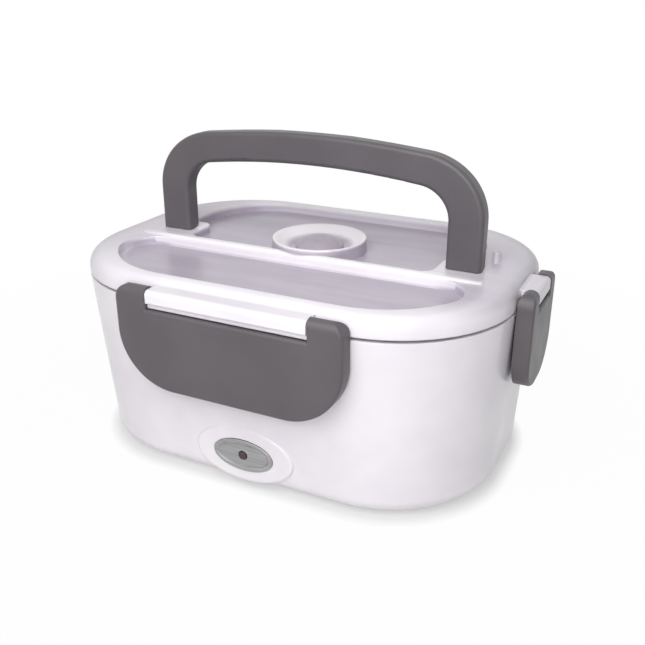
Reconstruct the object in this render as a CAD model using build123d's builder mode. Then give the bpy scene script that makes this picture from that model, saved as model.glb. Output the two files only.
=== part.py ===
from build123d import *
import os
from math import cos, radians, sin

# Electric lunch box, in millimetres.  The origin lies on the table under the middle of the box,
# +X runs right along the long side, -Y faces the front with the badge, and +Z is up.
# A tapered outer shell holds a tub, the tub holds a steel food tray over a heating plate, and a
# lift-off lid carries the carrying handle, the steam plug and the four clips that hold it shut.

os.makedirs("parts", exist_ok=True)

# ---- driving sizes -------------------------------------------------------------------------

# body outline and heights
body_length = 235.0            # X, at the seam
body_width = 168.0             # Y, at the seam
corner_radius = 63.5           # plan corner at the seam
seam_height = 96.6             # top of the body
end_taper = 4.3                # each end draws in by this much from the seam to the bottom
front_taper = 8.0              # front and back draw in by this much
lower_corner_tightening = 2.5   # plan corner is smaller by this much at the bottom
shell_bottom = 1.2             # underside of the shell above the table
bottom_rounding = 9.0          # rounding where the walls turn into the underside
shell_wall = 2.4

# base cover, its screws and the feet
cover_margin = 6.0             # flat ring of the underside left around the cover
cover_thickness = 2.4
cover_gap = 0.3
ledge_thickness = 2.0          # ledge that the cover closes against
ledge_width = 4.0
screw_end_inset = 14.2         # screws from the ends of the cover
screw_side_inset = 33.0
screw_radius = 1.5
screw_head_radius = 2.9
screw_head_height = 2.2
screw_length = 12.0
screw_slot = 0.8
hub_radius = 5.6               # raised hub around each screw hole of the cover
hub_height = 2.4
head_sink = 3.0                # counterbore depth in the cover
head_gap = 0.4
foot_end_inset = 36.2          # feet from the ends of the cover
foot_side_inset = 15.0
foot_radius = 7.0
foot_recess = 0.6
foot_chamfer = 0.5

# tub
tub_inset = 9.0                # tub wall drawn in from the body outline, at the top
tub_draft = 3.0                # further inset at the tub floor
tub_wall = 2.0
tub_floor = 36.0               # height of the tub's inner floor
tub_floor_rounding = 8.0
tub_flange_thickness = 2.0
rim_rebate = 1.2               # width of the step in the shell's rim that takes the tub flange
rim_fit = 0.1
post_radius = 4.4

# heating plate and what hangs under it
plate_end_margin = 16.8        # bare floor of the tub beyond the plate
plate_side_margin = 12.9
plate_corner = 14.0
plate_thickness = 2.5
plate_chamfer = 0.8
window_end_inset = 29.0        # window for the heaters, from the edge of the plate
window_side_inset = 21.0
window_corner = 4.0
heater_gap = 8.0               # between the two heaters
heater_end_clearance = 5.0     # heaters to the ends of the window
heater_side_clearance = 16.0
heater_height = 4.6
case_sheet = 0.6               # aluminium case of a heater
stone_setback = 3.0            # ceramic stones stand back from the sides of their case
insulator_thickness = 0.8
insulator_overhang = 2.0
insulator_corner = 2.0
pan_sheet = 1.0
pan_flange = 8.0
pan_corner = 5.0
pan_screw_radius = 1.25
pan_screw_head = 2.4
pan_screw_head_height = 1.5
thermostat_margin = 2.4        # between the pan flange and the thermostat
thermostat_radius = 8.0
thermostat_height = 8.0
thermostat_flange = 11.6
flange_thickness = 1.0
thermostat_gap = 0.4
fuse_radius = 2.2
fuse_length = 13.0
fuse_side_inset = 1.0          # fuse axis in from the rear side of the heaters
fuse_lead_length = 5.0
lead_radius = 0.5
wire_radius = 0.9
wire_bend = 3.0
wire_turn = 12.0               # wires run on by this much past the fuse leads
board_wire_reach = 14.0        # straight end of the wire at the indicator board
thermostat_tab_length = 5.0

# food tray
tray_gap = 1.0                 # air between tray wall and tub wall
tray_sheet = 0.8
tray_rim_inset = 4.6           # tray rim edge drawn in from the body outline
tray_floor_rounding = 9.0

# badge, indicator and their boss
boss_length = 56.0
boss_height = 31.0
boss_bottom = 4.0
boss_standout = 1.7            # boss face in front of the wall, at the boss's middle
boss_rounding = 1.6
badge_length = 34.0
badge_height = 17.5
badge_thickness = 1.0
badge_sink = 0.6
badge_gap = 0.25
badge_rim = 1.6
badge_ring_depth = 0.3
lens_radius = 2.3
lens_gap = 0.15
lens_standout = 0.4
board_length = 26.0
board_height = 15.0
board_thickness = 1.6
board_gap = 6.0                # board behind the inner face of the front wall
board_post = 3.0
led_radius = 2.0
led_rounding = 1.2
led_tip_gap = 0.2
resistor_length = 7.0
resistor_width = 2.4
resistor_shift = 6.0

# power inlet in the rear wall
inlet_height = 19.0
inlet_body_width = 30.0
inlet_body_height = 16.0
inlet_body_corner = 2.0
inlet_depth = 18.0
bezel_width = 38.0
bezel_height = 21.0
bezel_corner = 5.0
bezel_thickness = 1.8
bezel_edge_rounding = 1.0
inlet_pad_standout = 1.6       # flat pad of the shell beyond the rear wall
inlet_pad_margin = 1.0         # pad beyond the bezel
inlet_gap = 0.3
socket_radius = 4.3            # each lobe of the figure-8 socket
socket_pitch = 8.6
socket_waist = 6.4             # height of the socket between its lobes
socket_depth = 13.0
pin_radius = 1.2
pin_fit = 0.03
pin_length = 9.5
tab_length = 8.0
tab_width = 4.8
tab_thickness = 0.8

# lid
seam_gap = 1.6
lid_height = 9.2
lid_wall = 2.4
lid_edge_rounding = 6.6
recess_end_margin = 16.5       # rim of the lid beyond the recesses
recess_side_margin = 11.0
recess_depth = 4.4
pan_thickness = 2.2
ridge_y = -17.4
ridge_width = 5.6
ridge_end_margin = 17.0
ridge_rise = 1.2
ridge_rounding = 2.3
front_recess_end_radius = 18.0
rear_recess_gap = 1.6          # ridge to rear recess
neck_gap = 4.4                 # rear recess to the inner sides of the handle feet
rear_recess_end_inset = 14.0   # behind the feet, in from the ends of the recess outline
rear_recess_foot_gap = 7.7     # handle foot to the wide part of the rear recess
rear_recess_back_inset = 2.0
rear_recess_corner = 40.0
rear_recess_small_corner = 7.0

# gasket and the ribs that hold it
gasket_outer_inset = 5.0
gasket_inner_inset = 10.4
gasket_stem_outer_inset = 5.6
gasket_stem_inner_inset = 7.4
gasket_lip_height = 2.6
gasket_rib = 1.4
gasket_rib_gap = 0.2
locating_rib_drop = 3.0        # below the seam
locating_rib_gap = 1.4         # to the inner face of the tray

# steam vent
vent_y = 8.5
vent_rim_radius = 24.6
vent_rim_rise = 3.0            # above the lid's top
vent_rim_land = 1.3
vent_base_radius = 26.4
vent_well_radius = 15.4
vent_well_rise = 1.6           # above the recess floor
vent_draft = 0.6
vent_hole_radius = 5.2
plug_radius = 13.4
plug_edge_height = 1.4
plug_sink = 0.2                # crown of the plug below the vent rim
plug_crown_share = 0.76        # where along the radius the dome has dropped by plug_crown_drop
plug_crown_drop = 1.4
plug_dimple_radius = 3.4
plug_dimple_slope = 0.6
plug_dimple_depth = 0.7
plug_stem_gap = 0.1
plug_stem_length = 3.4

# handle
handle_end_inset = 22.7        # outer sides of the handle in from the ends of the lid
leg_width = 18.4
handle_thickness = 10.6
handle_rise = 54.8             # shoulders of the handle above the lid's top
handle_bow = 6.0               # middle of the bar above its shoulders
bar_height = 16.2
handle_outer_corner = 33.0
handle_inner_corner = 17.0
handle_edge_rounding = 2.4
handle_clearance = 0.3
lug_width = 7.0
lug_radius = 3.9
lug_side_gap = 0.3
lug_slot_gap = 0.4
handle_pin_radius = 1.5
handle_pin_fit = 0.05
handle_pin_reach = 4.0         # how far each pin enters the cheeks of the handle foot
handle_pin_end_gap = 0.2

# clips
clip_half_depth = 4.2          # half the depth of a clip, and the radius of its ears
clip_gap = 0.7                 # clip behind to lid wall
clip_sheet = 2.4
clip_side_wall = 2.0
clip_edge_rounding = 1.6
clip_length = 48.3             # from the pivot to the lower edge
notch_drop = 6.6               # top edge of the clip plate below the pivot
ear_corner = 7.0
clip_pin_radius = 1.9
clip_pin_length = 3.6
clip_pin_fit = 0.08
clip_pin_end_gap = 0.3
ear_gap = 0.3
rail_step_depth = 1.7
rail_step_drop = 3.2
rail_face_inset = 0.4
rail_top_drop = 1.0
rail_rounding = 2.4
rail_drop = 6.0                # lower edge of a rail below the pivot
rail_seam_gap = 0.3            # part of a rail that hangs below the lid, to the body outline
catch_drop = 5.6               # top of a catch rib below the seam
catch_height = 3.4
catch_clearance = 0.3          # face of a catch rib to the back of its clip
catch_slope = 0.8              # its upper side slopes down by this much
catch_foot = 1.5
hook_gap = 0.5
hook_height = 3.0
hook_root = 2.2                # the hook thickens by this much towards the plate
hook_side_inset = 9.0

# the front and right clips reach up to the rim; nothing of the other two shows above it
long_clip = {"half_width": 60.5, "notch": 43.0, "corner": 30.0}
short_clip = {"half_width": 24.0, "notch": 13.0, "corner": 20.0}
long_side = {**long_clip, "reach": body_width / 2, "taper": front_taper}
short_side = {**short_clip, "reach": body_length / 2, "taper": end_taper}
clip_sides = {
    "front": {"turn": 0, "pivot_drop": 5.1, **long_side},
    "right": {"turn": 90, "pivot_drop": 5.1, **short_side},
    "rear": {"turn": 180, "pivot_drop": 9.8, **long_side},
    "left": {"turn": 270, "pivot_drop": 9.8, **short_side},
}

# ---- sizes that follow ---------------------------------------------------------------------

lower_corner_radius = corner_radius - lower_corner_tightening
cover_top = shell_bottom + cover_thickness
ledge_top = cover_top + ledge_thickness
lid_bottom = seam_height + seam_gap
lid_top = lid_bottom + lid_height
tub_underside = tub_floor - tub_wall
plate_top = tub_floor + plate_thickness
heater_bottom = tub_floor - heater_height
insulator_bottom = heater_bottom - insulator_thickness
pan_floor_bottom = insulator_bottom - pan_sheet
tray_rim_top = seam_height + tray_sheet
lid_ceiling = lid_top - lid_wall
recess_floor = lid_top - recess_depth
boss_middle = boss_bottom + boss_height / 2
handle_half_span = body_length / 2 - handle_end_inset
handle_shoulder = lid_top + handle_rise
handle_crown = handle_shoulder + handle_bow
handle_pivot = lid_top + handle_clearance + handle_thickness / 2
leg_middle = handle_half_span - leg_width / 2
catch_top = seam_height - catch_drop
catch_bottom = catch_top - catch_height
vent_rim_height = lid_top + vent_rim_rise
vent_well_height = recess_floor + vent_well_rise
plug_top = vent_rim_height - plug_sink
tray_inset = tub_inset + tub_wall + tray_gap


def taper_share(height):
    """Share of the full taper that is reached at a height, 0 at the seam and 1 at the bottom."""
    return (seam_height - height) / (seam_height - shell_bottom)


def plan_at(height, inset=0.0):
    """Length, width and corner radius of the body's plan at a height, drawn in by an inset."""
    share = taper_share(height)
    length = body_length - 2 * end_taper * share - 2 * inset
    width = body_width - 2 * front_taper * share - 2 * inset
    radius = corner_radius + (lower_corner_radius - corner_radius) * share - inset
    return length, width, radius


def corners(across, along):
    """Four places, one in each quarter of the plan."""
    return [(sx * across, sy * along) for sx in (-1, 1) for sy in (-1, 1)]


def seam_plan(inset):
    """Rounded outline of the seam, drawn in by an inset, added to the sketch being built."""
    RectangleRounded(body_length - 2 * inset, body_width - 2 * inset, corner_radius - inset)


def seam_ring(outer_inset, inner_inset):
    """Ring along the seam between two insets, as a sketch of its own."""
    with BuildSketch(mode=Mode.PRIVATE) as ring:
        seam_plan(outer_inset)
        RectangleRounded(
            body_length - 2 * inner_inset, body_width - 2 * inner_inset,
            corner_radius - inner_inset, mode=Mode.SUBTRACT)
    return ring.sketch


def tapered_block(floor, top, floor_inset, top_inset, rounding):
    """Solid that follows the body's taper from a rounded floor to an open top outline."""
    with BuildPart() as block:
        for height, inset in ((floor, floor_inset), (top, top_inset)):
            with BuildSketch(Plane.XY.offset(height)):
                RectangleRounded(*plan_at(height, inset))
        loft(ruled=True)
        fillet(block.edges().group_by(Axis.Z)[0], rounding)
    return block.part


def side_plane(turn, reach, height):
    """Plane on one side of the box: x along the side, y up and z outward."""
    along = (cos(radians(turn)), sin(radians(turn)), 0)
    outward = (sin(radians(turn)), -cos(radians(turn)), 0)
    place = (outward[0] * reach, outward[1] * reach, height)
    return Plane(origin=place, x_dir=along, z_dir=outward)


def cross_plane(turn, reach, height):
    """Plane across one side of the box: x outward, y up, normal along the side."""
    side = side_plane(turn, reach, height)
    return Plane(origin=side.origin, x_dir=side.z_dir, z_dir=side.z_dir.cross(side.y_dir))


def clip_pivot(side):
    """Height of a clip's pivot and its distance from the middle of the box."""
    return lid_top - side["pivot_drop"], side["reach"] + clip_gap + clip_half_depth


def save(builder, name):
    """Label a finished piece and write it to its own file."""
    builder.part.label = name
    export_step(builder.part, f"parts/{name}.step")


# ---- outer shell ---------------------------------------------------------------------------

shell_cavity = tapered_block(
    ledge_top, seam_height, shell_wall, shell_wall, bottom_rounding - shell_wall)
cover_length, cover_width, cover_corner = plan_at(shell_bottom, bottom_rounding + cover_margin)
screw_places = corners(cover_length / 2 - screw_end_inset, cover_width / 2 - screw_side_inset)
foot_places = corners(cover_length / 2 - foot_end_inset, cover_width / 2 - foot_side_inset)
front_wall_at_badge = body_width / 2 - front_taper * taper_share(boss_middle)
boss_face = front_wall_at_badge + boss_standout
badge_seat = boss_face - badge_thickness + badge_sink
rear_wall_at_inlet = body_width / 2 - front_taper * taper_share(inlet_height)
inlet_pad_face = rear_wall_at_inlet + inlet_pad_standout
board_face = front_wall_at_badge - shell_wall - board_gap

# oval boss for the badge, standing out of the lower front
boss_depth = boss_standout + shell_wall + bottom_rounding
with BuildPart() as badge_boss:
    with BuildSketch(side_plane(0, boss_face - boss_depth, boss_middle)):
        Ellipse(boss_length / 2, boss_height / 2)
    extrude(amount=boss_depth)
    fillet(badge_boss.faces().sort_by(Axis.Y)[0].edges(), boss_rounding)

with BuildPart() as outer_shell:
    for height in (shell_bottom, seam_height):
        with BuildSketch(Plane.XY.offset(height)):
            RectangleRounded(*plan_at(height))
    loft(ruled=True)
    fillet(outer_shell.edges().group_by(Axis.Z)[0], bottom_rounding)
    add(badge_boss.part)
    # flat pad for the inlet
    with BuildSketch(side_plane(180, rear_wall_at_inlet - shell_wall, inlet_height)):
        RectangleRounded(
            bezel_width + 2 * inlet_pad_margin, bezel_height + 2 * inlet_pad_margin,
            bezel_corner + inlet_pad_margin)
    extrude(amount=inlet_pad_face - rear_wall_at_inlet + shell_wall)
    add(shell_cavity, mode=Mode.SUBTRACT)
    # catch ribs that the clip hooks pass under
    for side in clip_sides.values():
        rib_middle = (catch_top + catch_bottom) / 2
        wall_face = side["reach"] - side["taper"] * taper_share(rib_middle)
        catch_reach = side["reach"] + clip_gap - catch_clearance - wall_face
        half_rib = catch_height / 2
        rib_length = side["half_width"] - clip_side_wall - hook_side_inset
        with BuildSketch(cross_plane(side["turn"], wall_face, rib_middle)):
            with BuildLine():
                Polyline(
                    (-shell_wall / 2, half_rib + catch_foot),
                    (0.0, half_rib + catch_foot),
                    (catch_reach, half_rib - catch_slope),
                    (catch_reach, -half_rib),
                    (-shell_wall / 2, -half_rib),
                    close=True,
                )
            make_face()
        extrude(amount=rib_length, both=True)
    # opening in the underside with a ledge for the cover
    with BuildSketch(Plane.XY.offset(shell_bottom)):
        RectangleRounded(cover_length, cover_width, cover_corner)
    extrude(amount=cover_thickness, mode=Mode.SUBTRACT)
    with BuildSketch(Plane.XY.offset(cover_top)):
        RectangleRounded(
            cover_length - 2 * ledge_width, cover_width - 2 * ledge_width, cover_corner - ledge_width)
    extrude(amount=ledge_thickness, mode=Mode.SUBTRACT)
    # step in the rim for the tub flange
    with BuildSketch(Plane.XY.offset(seam_height - tub_flange_thickness)):
        seam_plan(rim_rebate)
    extrude(amount=tub_flange_thickness, mode=Mode.SUBTRACT)
    # badge seat, and the bore for the indicator lens
    with BuildSketch(side_plane(0, badge_seat, boss_middle)):
        Ellipse(badge_length / 2 + badge_gap, badge_height / 2 + badge_gap)
    extrude(amount=badge_thickness, mode=Mode.SUBTRACT)
    with BuildSketch(side_plane(0, badge_seat, boss_middle)):
        Circle(lens_radius + lens_gap)
    extrude(amount=-(badge_seat - board_face), mode=Mode.SUBTRACT)
    # two posts that carry the indicator board
    with BuildSketch(side_plane(0, board_face, boss_middle)):
        with GridLocations(board_length - 2 * board_post, 0, 2, 1):
            Rectangle(board_post, board_height - board_post)
    extrude(amount=board_gap + shell_wall / 2)
    # window for the inlet
    with BuildSketch(side_plane(180, rear_wall_at_inlet - 2 * shell_wall, inlet_height)):
        Rectangle(inlet_body_width + 2 * inlet_gap, inlet_body_height + 2 * inlet_gap)
    extrude(amount=4 * shell_wall, mode=Mode.SUBTRACT)
save(outer_shell, "outer_shell")

# ---- base cover, screws and feet -----------------------------------------------------------

with BuildPart() as base_cover:
    with BuildSketch(Plane.XY.offset(shell_bottom)):
        RectangleRounded(
            cover_length - 2 * cover_gap, cover_width - 2 * cover_gap, cover_corner - cover_gap)
    extrude(amount=cover_thickness)
    # stiffening ribs on the inner face
    with BuildSketch(Plane.XY.offset(cover_top)):
        with GridLocations(0, cover_width / 4, 1, 3):
            Rectangle(cover_length - 2 * screw_end_inset - 4 * hub_radius, cover_thickness)
    extrude(amount=ledge_thickness)
    with BuildSketch(Plane.XY.offset(cover_top)):
        with Locations(*screw_places):
            Circle(hub_radius)
    extrude(amount=hub_height)
    with BuildSketch(Plane.XY.offset(shell_bottom)):
        with Locations(*screw_places):
            Circle(screw_head_radius + head_gap)
    extrude(amount=head_sink, mode=Mode.SUBTRACT)
    with BuildSketch(Plane.XY.offset(shell_bottom)):
        with Locations(*screw_places):
            Circle(screw_radius + head_gap / 2)
    extrude(amount=cover_thickness + hub_height, mode=Mode.SUBTRACT)
    with BuildSketch(Plane.XY.offset(shell_bottom)):
        with Locations(*foot_places):
            Circle(foot_radius)
    extrude(amount=foot_recess, mode=Mode.SUBTRACT)
save(base_cover, "base_cover")

head_seat = shell_bottom + head_sink
with BuildPart() as base_screws:
    with BuildSketch(Plane.XY.offset(head_seat - screw_head_height)):
        with Locations(*screw_places):
            Circle(screw_head_radius)
    extrude(amount=screw_head_height)
    with BuildSketch(Plane.XY.offset(head_seat)):
        with Locations(*screw_places):
            Circle(screw_radius)
    extrude(amount=screw_length)
    with BuildSketch(Plane.XY.offset(head_seat - screw_head_height)):
        with Locations(*screw_places):
            Rectangle(screw_radius * 2, screw_slot)
            Rectangle(screw_slot, screw_radius * 2)
    extrude(amount=screw_head_height / 2, mode=Mode.SUBTRACT)
save(base_screws, "base_screws")

with BuildPart() as rubber_feet:
    with BuildSketch():
        with Locations(*foot_places):
            Circle(foot_radius)
    extrude(amount=shell_bottom + foot_recess)
    chamfer(rubber_feet.edges().group_by(Axis.Z)[0], foot_chamfer)
save(rubber_feet, "rubber_feet")

# ---- tub -----------------------------------------------------------------------------------

tub_block = tapered_block(
    tub_underside, seam_height - tub_flange_thickness,
    tub_inset + tub_draft, tub_inset, tub_floor_rounding)
tub_hollow = tapered_block(
    tub_floor, seam_height,
    tub_inset + tub_draft + tub_wall, tub_inset + tub_wall, tub_floor_rounding - tub_wall)
post_bottom = cover_top + hub_height
floor_length, floor_width, _ = plan_at(tub_floor, tub_inset + tub_draft + tub_wall)
plate_length = floor_length - 2 * plate_end_margin
plate_width = floor_width - 2 * plate_side_margin
window_length = plate_length - 2 * window_end_inset
window_width = plate_width - 2 * window_side_inset
thermostat_x = -(window_length / 2 + pan_flange + thermostat_margin
                 + thermostat_gap + thermostat_radius)
pan_screw_places = corners(
    window_length / 2 + pan_flange / 2, window_width / 2 - pan_flange / 2)

with BuildPart() as inner_tub:
    add(tub_block)
    with BuildSketch(Plane.XY.offset(seam_height - tub_flange_thickness)):
        seam_plan(rim_rebate + rim_fit)
    extrude(amount=tub_flange_thickness)
    # posts down to the base cover
    with BuildSketch(Plane.XY.offset(post_bottom)):
        with Locations(*screw_places):
            Circle(post_radius)
    extrude(amount=tub_underside - post_bottom + tub_wall / 2)
    add(tub_hollow, mode=Mode.SUBTRACT)
    with BuildSketch(Plane.XY.offset(post_bottom)):
        with Locations(*screw_places):
            Circle(screw_radius)
    extrude(amount=screw_length, mode=Mode.SUBTRACT)
    # windows for the heaters and the thermostat, and the cover pan's screw holes
    with BuildSketch(Plane.XY.offset(tub_underside)):
        RectangleRounded(window_length, window_width, window_corner)
        with Locations((thermostat_x, 0)):
            Circle(thermostat_radius + thermostat_gap)
        with Locations(*pan_screw_places):
            Circle(pan_screw_radius)
    extrude(amount=tub_wall, mode=Mode.SUBTRACT)
save(inner_tub, "inner_tub")

# ---- heating plate, heaters and their cover ------------------------------------------------

with BuildPart() as heating_plate:
    with BuildSketch(Plane.XY.offset(tub_floor)):
        RectangleRounded(plate_length, plate_width, plate_corner)
    extrude(amount=plate_thickness)
    chamfer(heating_plate.edges().group_by(Axis.Z)[-1], plate_chamfer)
    with BuildSketch(Plane.XY.offset(tub_floor)):
        with Locations(*pan_screw_places):
            Circle(pan_screw_radius)
    extrude(amount=plate_thickness - plate_chamfer, mode=Mode.SUBTRACT)
save(heating_plate, "heating_plate")

heater_length = (window_length - heater_gap) / 2 - heater_end_clearance
heater_width = window_width - 2 * heater_side_clearance
heater_pitch = heater_length + heater_gap
with BuildPart() as ptc_heaters:
    with BuildSketch(Plane.XY.offset(heater_bottom)):
        with GridLocations(heater_pitch, 0, 2, 1):
            Rectangle(heater_length, heater_width)
    extrude(amount=heater_height)
    # the ceramic stones stand back from the sides of their aluminium cases
    with BuildSketch(Plane.XY.offset(heater_bottom + case_sheet)):
        with GridLocations(heater_pitch, heater_width, 2, 2):
            Rectangle(heater_length, 2 * stone_setback)
    extrude(amount=heater_height - 2 * case_sheet, mode=Mode.SUBTRACT)
save(ptc_heaters, "ptc_heaters")

insulator_length = heater_pitch + heater_length + 2 * insulator_overhang
with BuildPart() as mica_insulator:
    with BuildSketch(Plane.XY.offset(insulator_bottom)):
        RectangleRounded(
            insulator_length, heater_width + 2 * insulator_overhang, insulator_corner)
    extrude(amount=insulator_thickness)
save(mica_insulator, "mica_insulator")

pan_length = window_length + 2 * pan_flange
with BuildPart() as heater_pan:
    with BuildSketch(Plane.XY.offset(tub_underside - pan_sheet)):
        RectangleRounded(pan_length, window_width + pan_flange, pan_corner)
    extrude(amount=pan_sheet)
    with BuildSketch(Plane.XY.offset(pan_floor_bottom)):
        RectangleRounded(
            window_length - 2 * pan_sheet, window_width - 2 * pan_sheet, pan_corner)
    extrude(amount=tub_underside - pan_floor_bottom)
    with BuildSketch(Plane.XY.offset(insulator_bottom)):
        RectangleRounded(
            window_length - 4 * pan_sheet, window_width - 4 * pan_sheet, pan_corner - pan_sheet)
    extrude(amount=tub_underside - insulator_bottom, mode=Mode.SUBTRACT)
    with BuildSketch(Plane.XY.offset(tub_underside - pan_sheet)):
        with Locations(*pan_screw_places):
            Circle(pan_screw_radius)
    extrude(amount=pan_sheet, mode=Mode.SUBTRACT)
save(heater_pan, "heater_pan")

with BuildPart() as pan_screws:
    with BuildSketch(Plane.XY.offset(tub_underside - pan_sheet - pan_screw_head_height)):
        with Locations(*pan_screw_places):
            Circle(pan_screw_head)
    extrude(amount=pan_screw_head_height)
    with BuildSketch(Plane.XY.offset(tub_underside - pan_sheet)):
        with Locations(*pan_screw_places):
            Circle(pan_screw_radius)
    extrude(amount=pan_sheet + tub_wall + plate_thickness - plate_chamfer)
save(pan_screws, "pan_screws")

thermostat_bottom = tub_floor - thermostat_height
tab_shift = socket_pitch / 2
with BuildPart() as thermostat:
    with BuildSketch(Plane.XY.offset(thermostat_bottom)):
        with Locations((thermostat_x, 0)):
            Circle(thermostat_radius)
    extrude(amount=thermostat_height)
    with BuildSketch(Plane.XY.offset(tub_underside - flange_thickness)):
        with Locations((thermostat_x, 0)):
            Rectangle(thermostat_radius, 2 * thermostat_flange)
            Circle(thermostat_radius + thermostat_gap)
    extrude(amount=flange_thickness)
    # two spade tabs for the wires
    with BuildSketch(Plane.XY.offset(thermostat_bottom - thermostat_tab_length)):
        with Locations((thermostat_x, -tab_shift), (thermostat_x, tab_shift)):
            Rectangle(tab_width, tab_thickness)
    extrude(amount=thermostat_tab_length)
save(thermostat, "thermostat")

fuse_axis = pan_floor_bottom - fuse_radius
fuse_y = heater_width / 2 - fuse_side_inset
fuse_lead_end = fuse_length / 2 + fuse_lead_length
with BuildPart() as thermal_fuse:
    with BuildSketch(Plane.YZ.offset(-fuse_length / 2)):
        with Locations((fuse_y, fuse_axis)):
            Circle(fuse_radius)
    extrude(amount=fuse_length)
    with BuildSketch(Plane.YZ.offset(-fuse_lead_end)):
        with Locations((fuse_y, fuse_axis)):
            Circle(lead_radius)
    extrude(amount=2 * fuse_lead_end)
save(thermal_fuse, "thermal_fuse")

# ---- power inlet ---------------------------------------------------------------------------

bezel_face = inlet_pad_face + bezel_thickness
with BuildPart() as power_inlet:
    with BuildSketch(side_plane(180, inlet_pad_face, inlet_height)):
        RectangleRounded(bezel_width, bezel_height, bezel_corner)
    extrude(amount=bezel_thickness)
    fillet(power_inlet.faces().sort_by(Axis.Y)[-1].edges(), bezel_edge_rounding)
    with BuildSketch(side_plane(180, bezel_face - inlet_depth, inlet_height)):
        RectangleRounded(inlet_body_width, inlet_body_height, inlet_body_corner)
    extrude(amount=inlet_depth - bezel_thickness / 2)
    # figure-8 socket
    with BuildSketch(side_plane(180, bezel_face - socket_depth, inlet_height)):
        with GridLocations(socket_pitch, 0, 2, 1):
            Circle(socket_radius)
        Rectangle(socket_pitch, socket_waist)
    extrude(amount=socket_depth, mode=Mode.SUBTRACT)
    with BuildSketch(side_plane(180, bezel_face - inlet_depth, inlet_height)):
        with GridLocations(socket_pitch, 0, 2, 1):
            Circle(pin_radius + pin_fit)
    extrude(amount=inlet_depth - socket_depth, mode=Mode.SUBTRACT)
save(power_inlet, "power_inlet")

with BuildPart() as inlet_contacts:
    with BuildSketch(side_plane(180, bezel_face - inlet_depth, inlet_height)):
        with GridLocations(socket_pitch, 0, 2, 1):
            Circle(pin_radius)
    extrude(amount=inlet_depth - socket_depth + pin_length)
    chamfer(inlet_contacts.faces().sort_by(Axis.Y)[-2:].edges(), pin_radius / 2)
    with BuildSketch(side_plane(180, bezel_face - inlet_depth - tab_length, inlet_height)):
        with GridLocations(socket_pitch, 0, 2, 1):
            Rectangle(tab_thickness, tab_width)
    extrude(amount=tab_length)
save(inlet_contacts, "inlet_contacts")

# ---- badge and indicator -------------------------------------------------------------------

badge_face = badge_seat + badge_thickness
with BuildPart() as badge_plate:
    with BuildSketch(side_plane(0, badge_seat, boss_middle)):
        Ellipse(badge_length / 2, badge_height / 2)
        Circle(lens_radius + lens_gap, mode=Mode.SUBTRACT)
    extrude(amount=badge_thickness)
    # sunk field inside a raised rim
    with BuildSketch(side_plane(0, badge_face - badge_ring_depth, boss_middle)):
        Ellipse(badge_length / 2 - badge_rim, badge_height / 2 - badge_rim)
        Circle(lens_radius + badge_rim, mode=Mode.SUBTRACT)
    extrude(amount=badge_ring_depth, mode=Mode.SUBTRACT)
save(badge_plate, "badge_plate")

led_tip = board_face + board_gap
with BuildPart() as indicator_lens:
    with BuildSketch(side_plane(0, led_tip, boss_middle)):
        Circle(lens_radius)
    extrude(amount=badge_face - led_tip + lens_standout)
    fillet(indicator_lens.faces().sort_by(Axis.Y)[0].edges(), lens_standout)
save(indicator_lens, "indicator_lens")

with BuildPart() as indicator_board:
    with BuildSketch(side_plane(0, board_face - board_thickness, boss_middle)):
        Rectangle(board_length, board_height)
    extrude(amount=board_thickness)
    with BuildSketch(side_plane(0, board_face, boss_middle)):
        Circle(led_radius)
    extrude(amount=board_gap - led_tip_gap)
    fillet(indicator_board.faces().sort_by(Axis.Y)[0].edges(), led_rounding)
    # dropping resistor on the back
    with BuildSketch(side_plane(0, board_face - board_thickness - resistor_width, boss_middle)):
        with Locations((resistor_shift, resistor_shift / 2)):
            Rectangle(resistor_length, resistor_width)
    extrude(amount=resistor_width)
save(indicator_board, "indicator_board")

# ---- wiring --------------------------------------------------------------------------------


def wire(points):
    """Insulated wire along straight runs joined by round bends."""
    with BuildPart() as strand:
        with BuildLine() as route:
            FilletPolyline(*points, radius=wire_bend)
        with BuildSketch(Plane(origin=route.line @ 0, z_dir=route.line % 0)):
            Circle(wire_radius)
        sweep()
    return strand.part


tab_end = bezel_face - inlet_depth - tab_length
thermostat_tab_end = thermostat_bottom - thermostat_tab_length
board_back = -(board_face - board_thickness) + wire_radius
long_wire_start = fuse_y + 2 * wire_turn
with BuildPart() as wiring_harness:
    # inlet to fuse
    add(wire([
        (tab_shift, tab_end, inlet_height),
        (tab_shift, fuse_y + wire_turn, inlet_height),
        (fuse_lead_end + wire_turn, fuse_y, fuse_axis),
        (fuse_lead_end, fuse_y, fuse_axis),
    ]))
    # inlet to thermostat
    add(wire([
        (-tab_shift, tab_end, inlet_height),
        (-tab_shift, long_wire_start, inlet_height),
        (thermostat_x, tab_shift, inlet_height),
        (thermostat_x, tab_shift, thermostat_tab_end),
    ]))
    # fuse to thermostat
    add(wire([
        (-fuse_lead_end, fuse_y, fuse_axis),
        (-fuse_lead_end - wire_turn, fuse_y, fuse_axis),
        (thermostat_x, -tab_shift, inlet_height),
        (thermostat_x, -tab_shift, thermostat_tab_end),
    ]))
    # branch from the middle of the long wire to the indicator board
    branch_x = (thermostat_x - tab_shift) / 2
    branch_y = (tab_shift + long_wire_start) / 2
    add(wire([
        (0, board_back, inlet_height),
        (0, board_back + board_wire_reach, inlet_height),
        (branch_x, branch_y - wire_radius / 2, inlet_height),
    ]))
save(wiring_harness, "wiring_harness")

# ---- food tray -----------------------------------------------------------------------------

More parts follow.
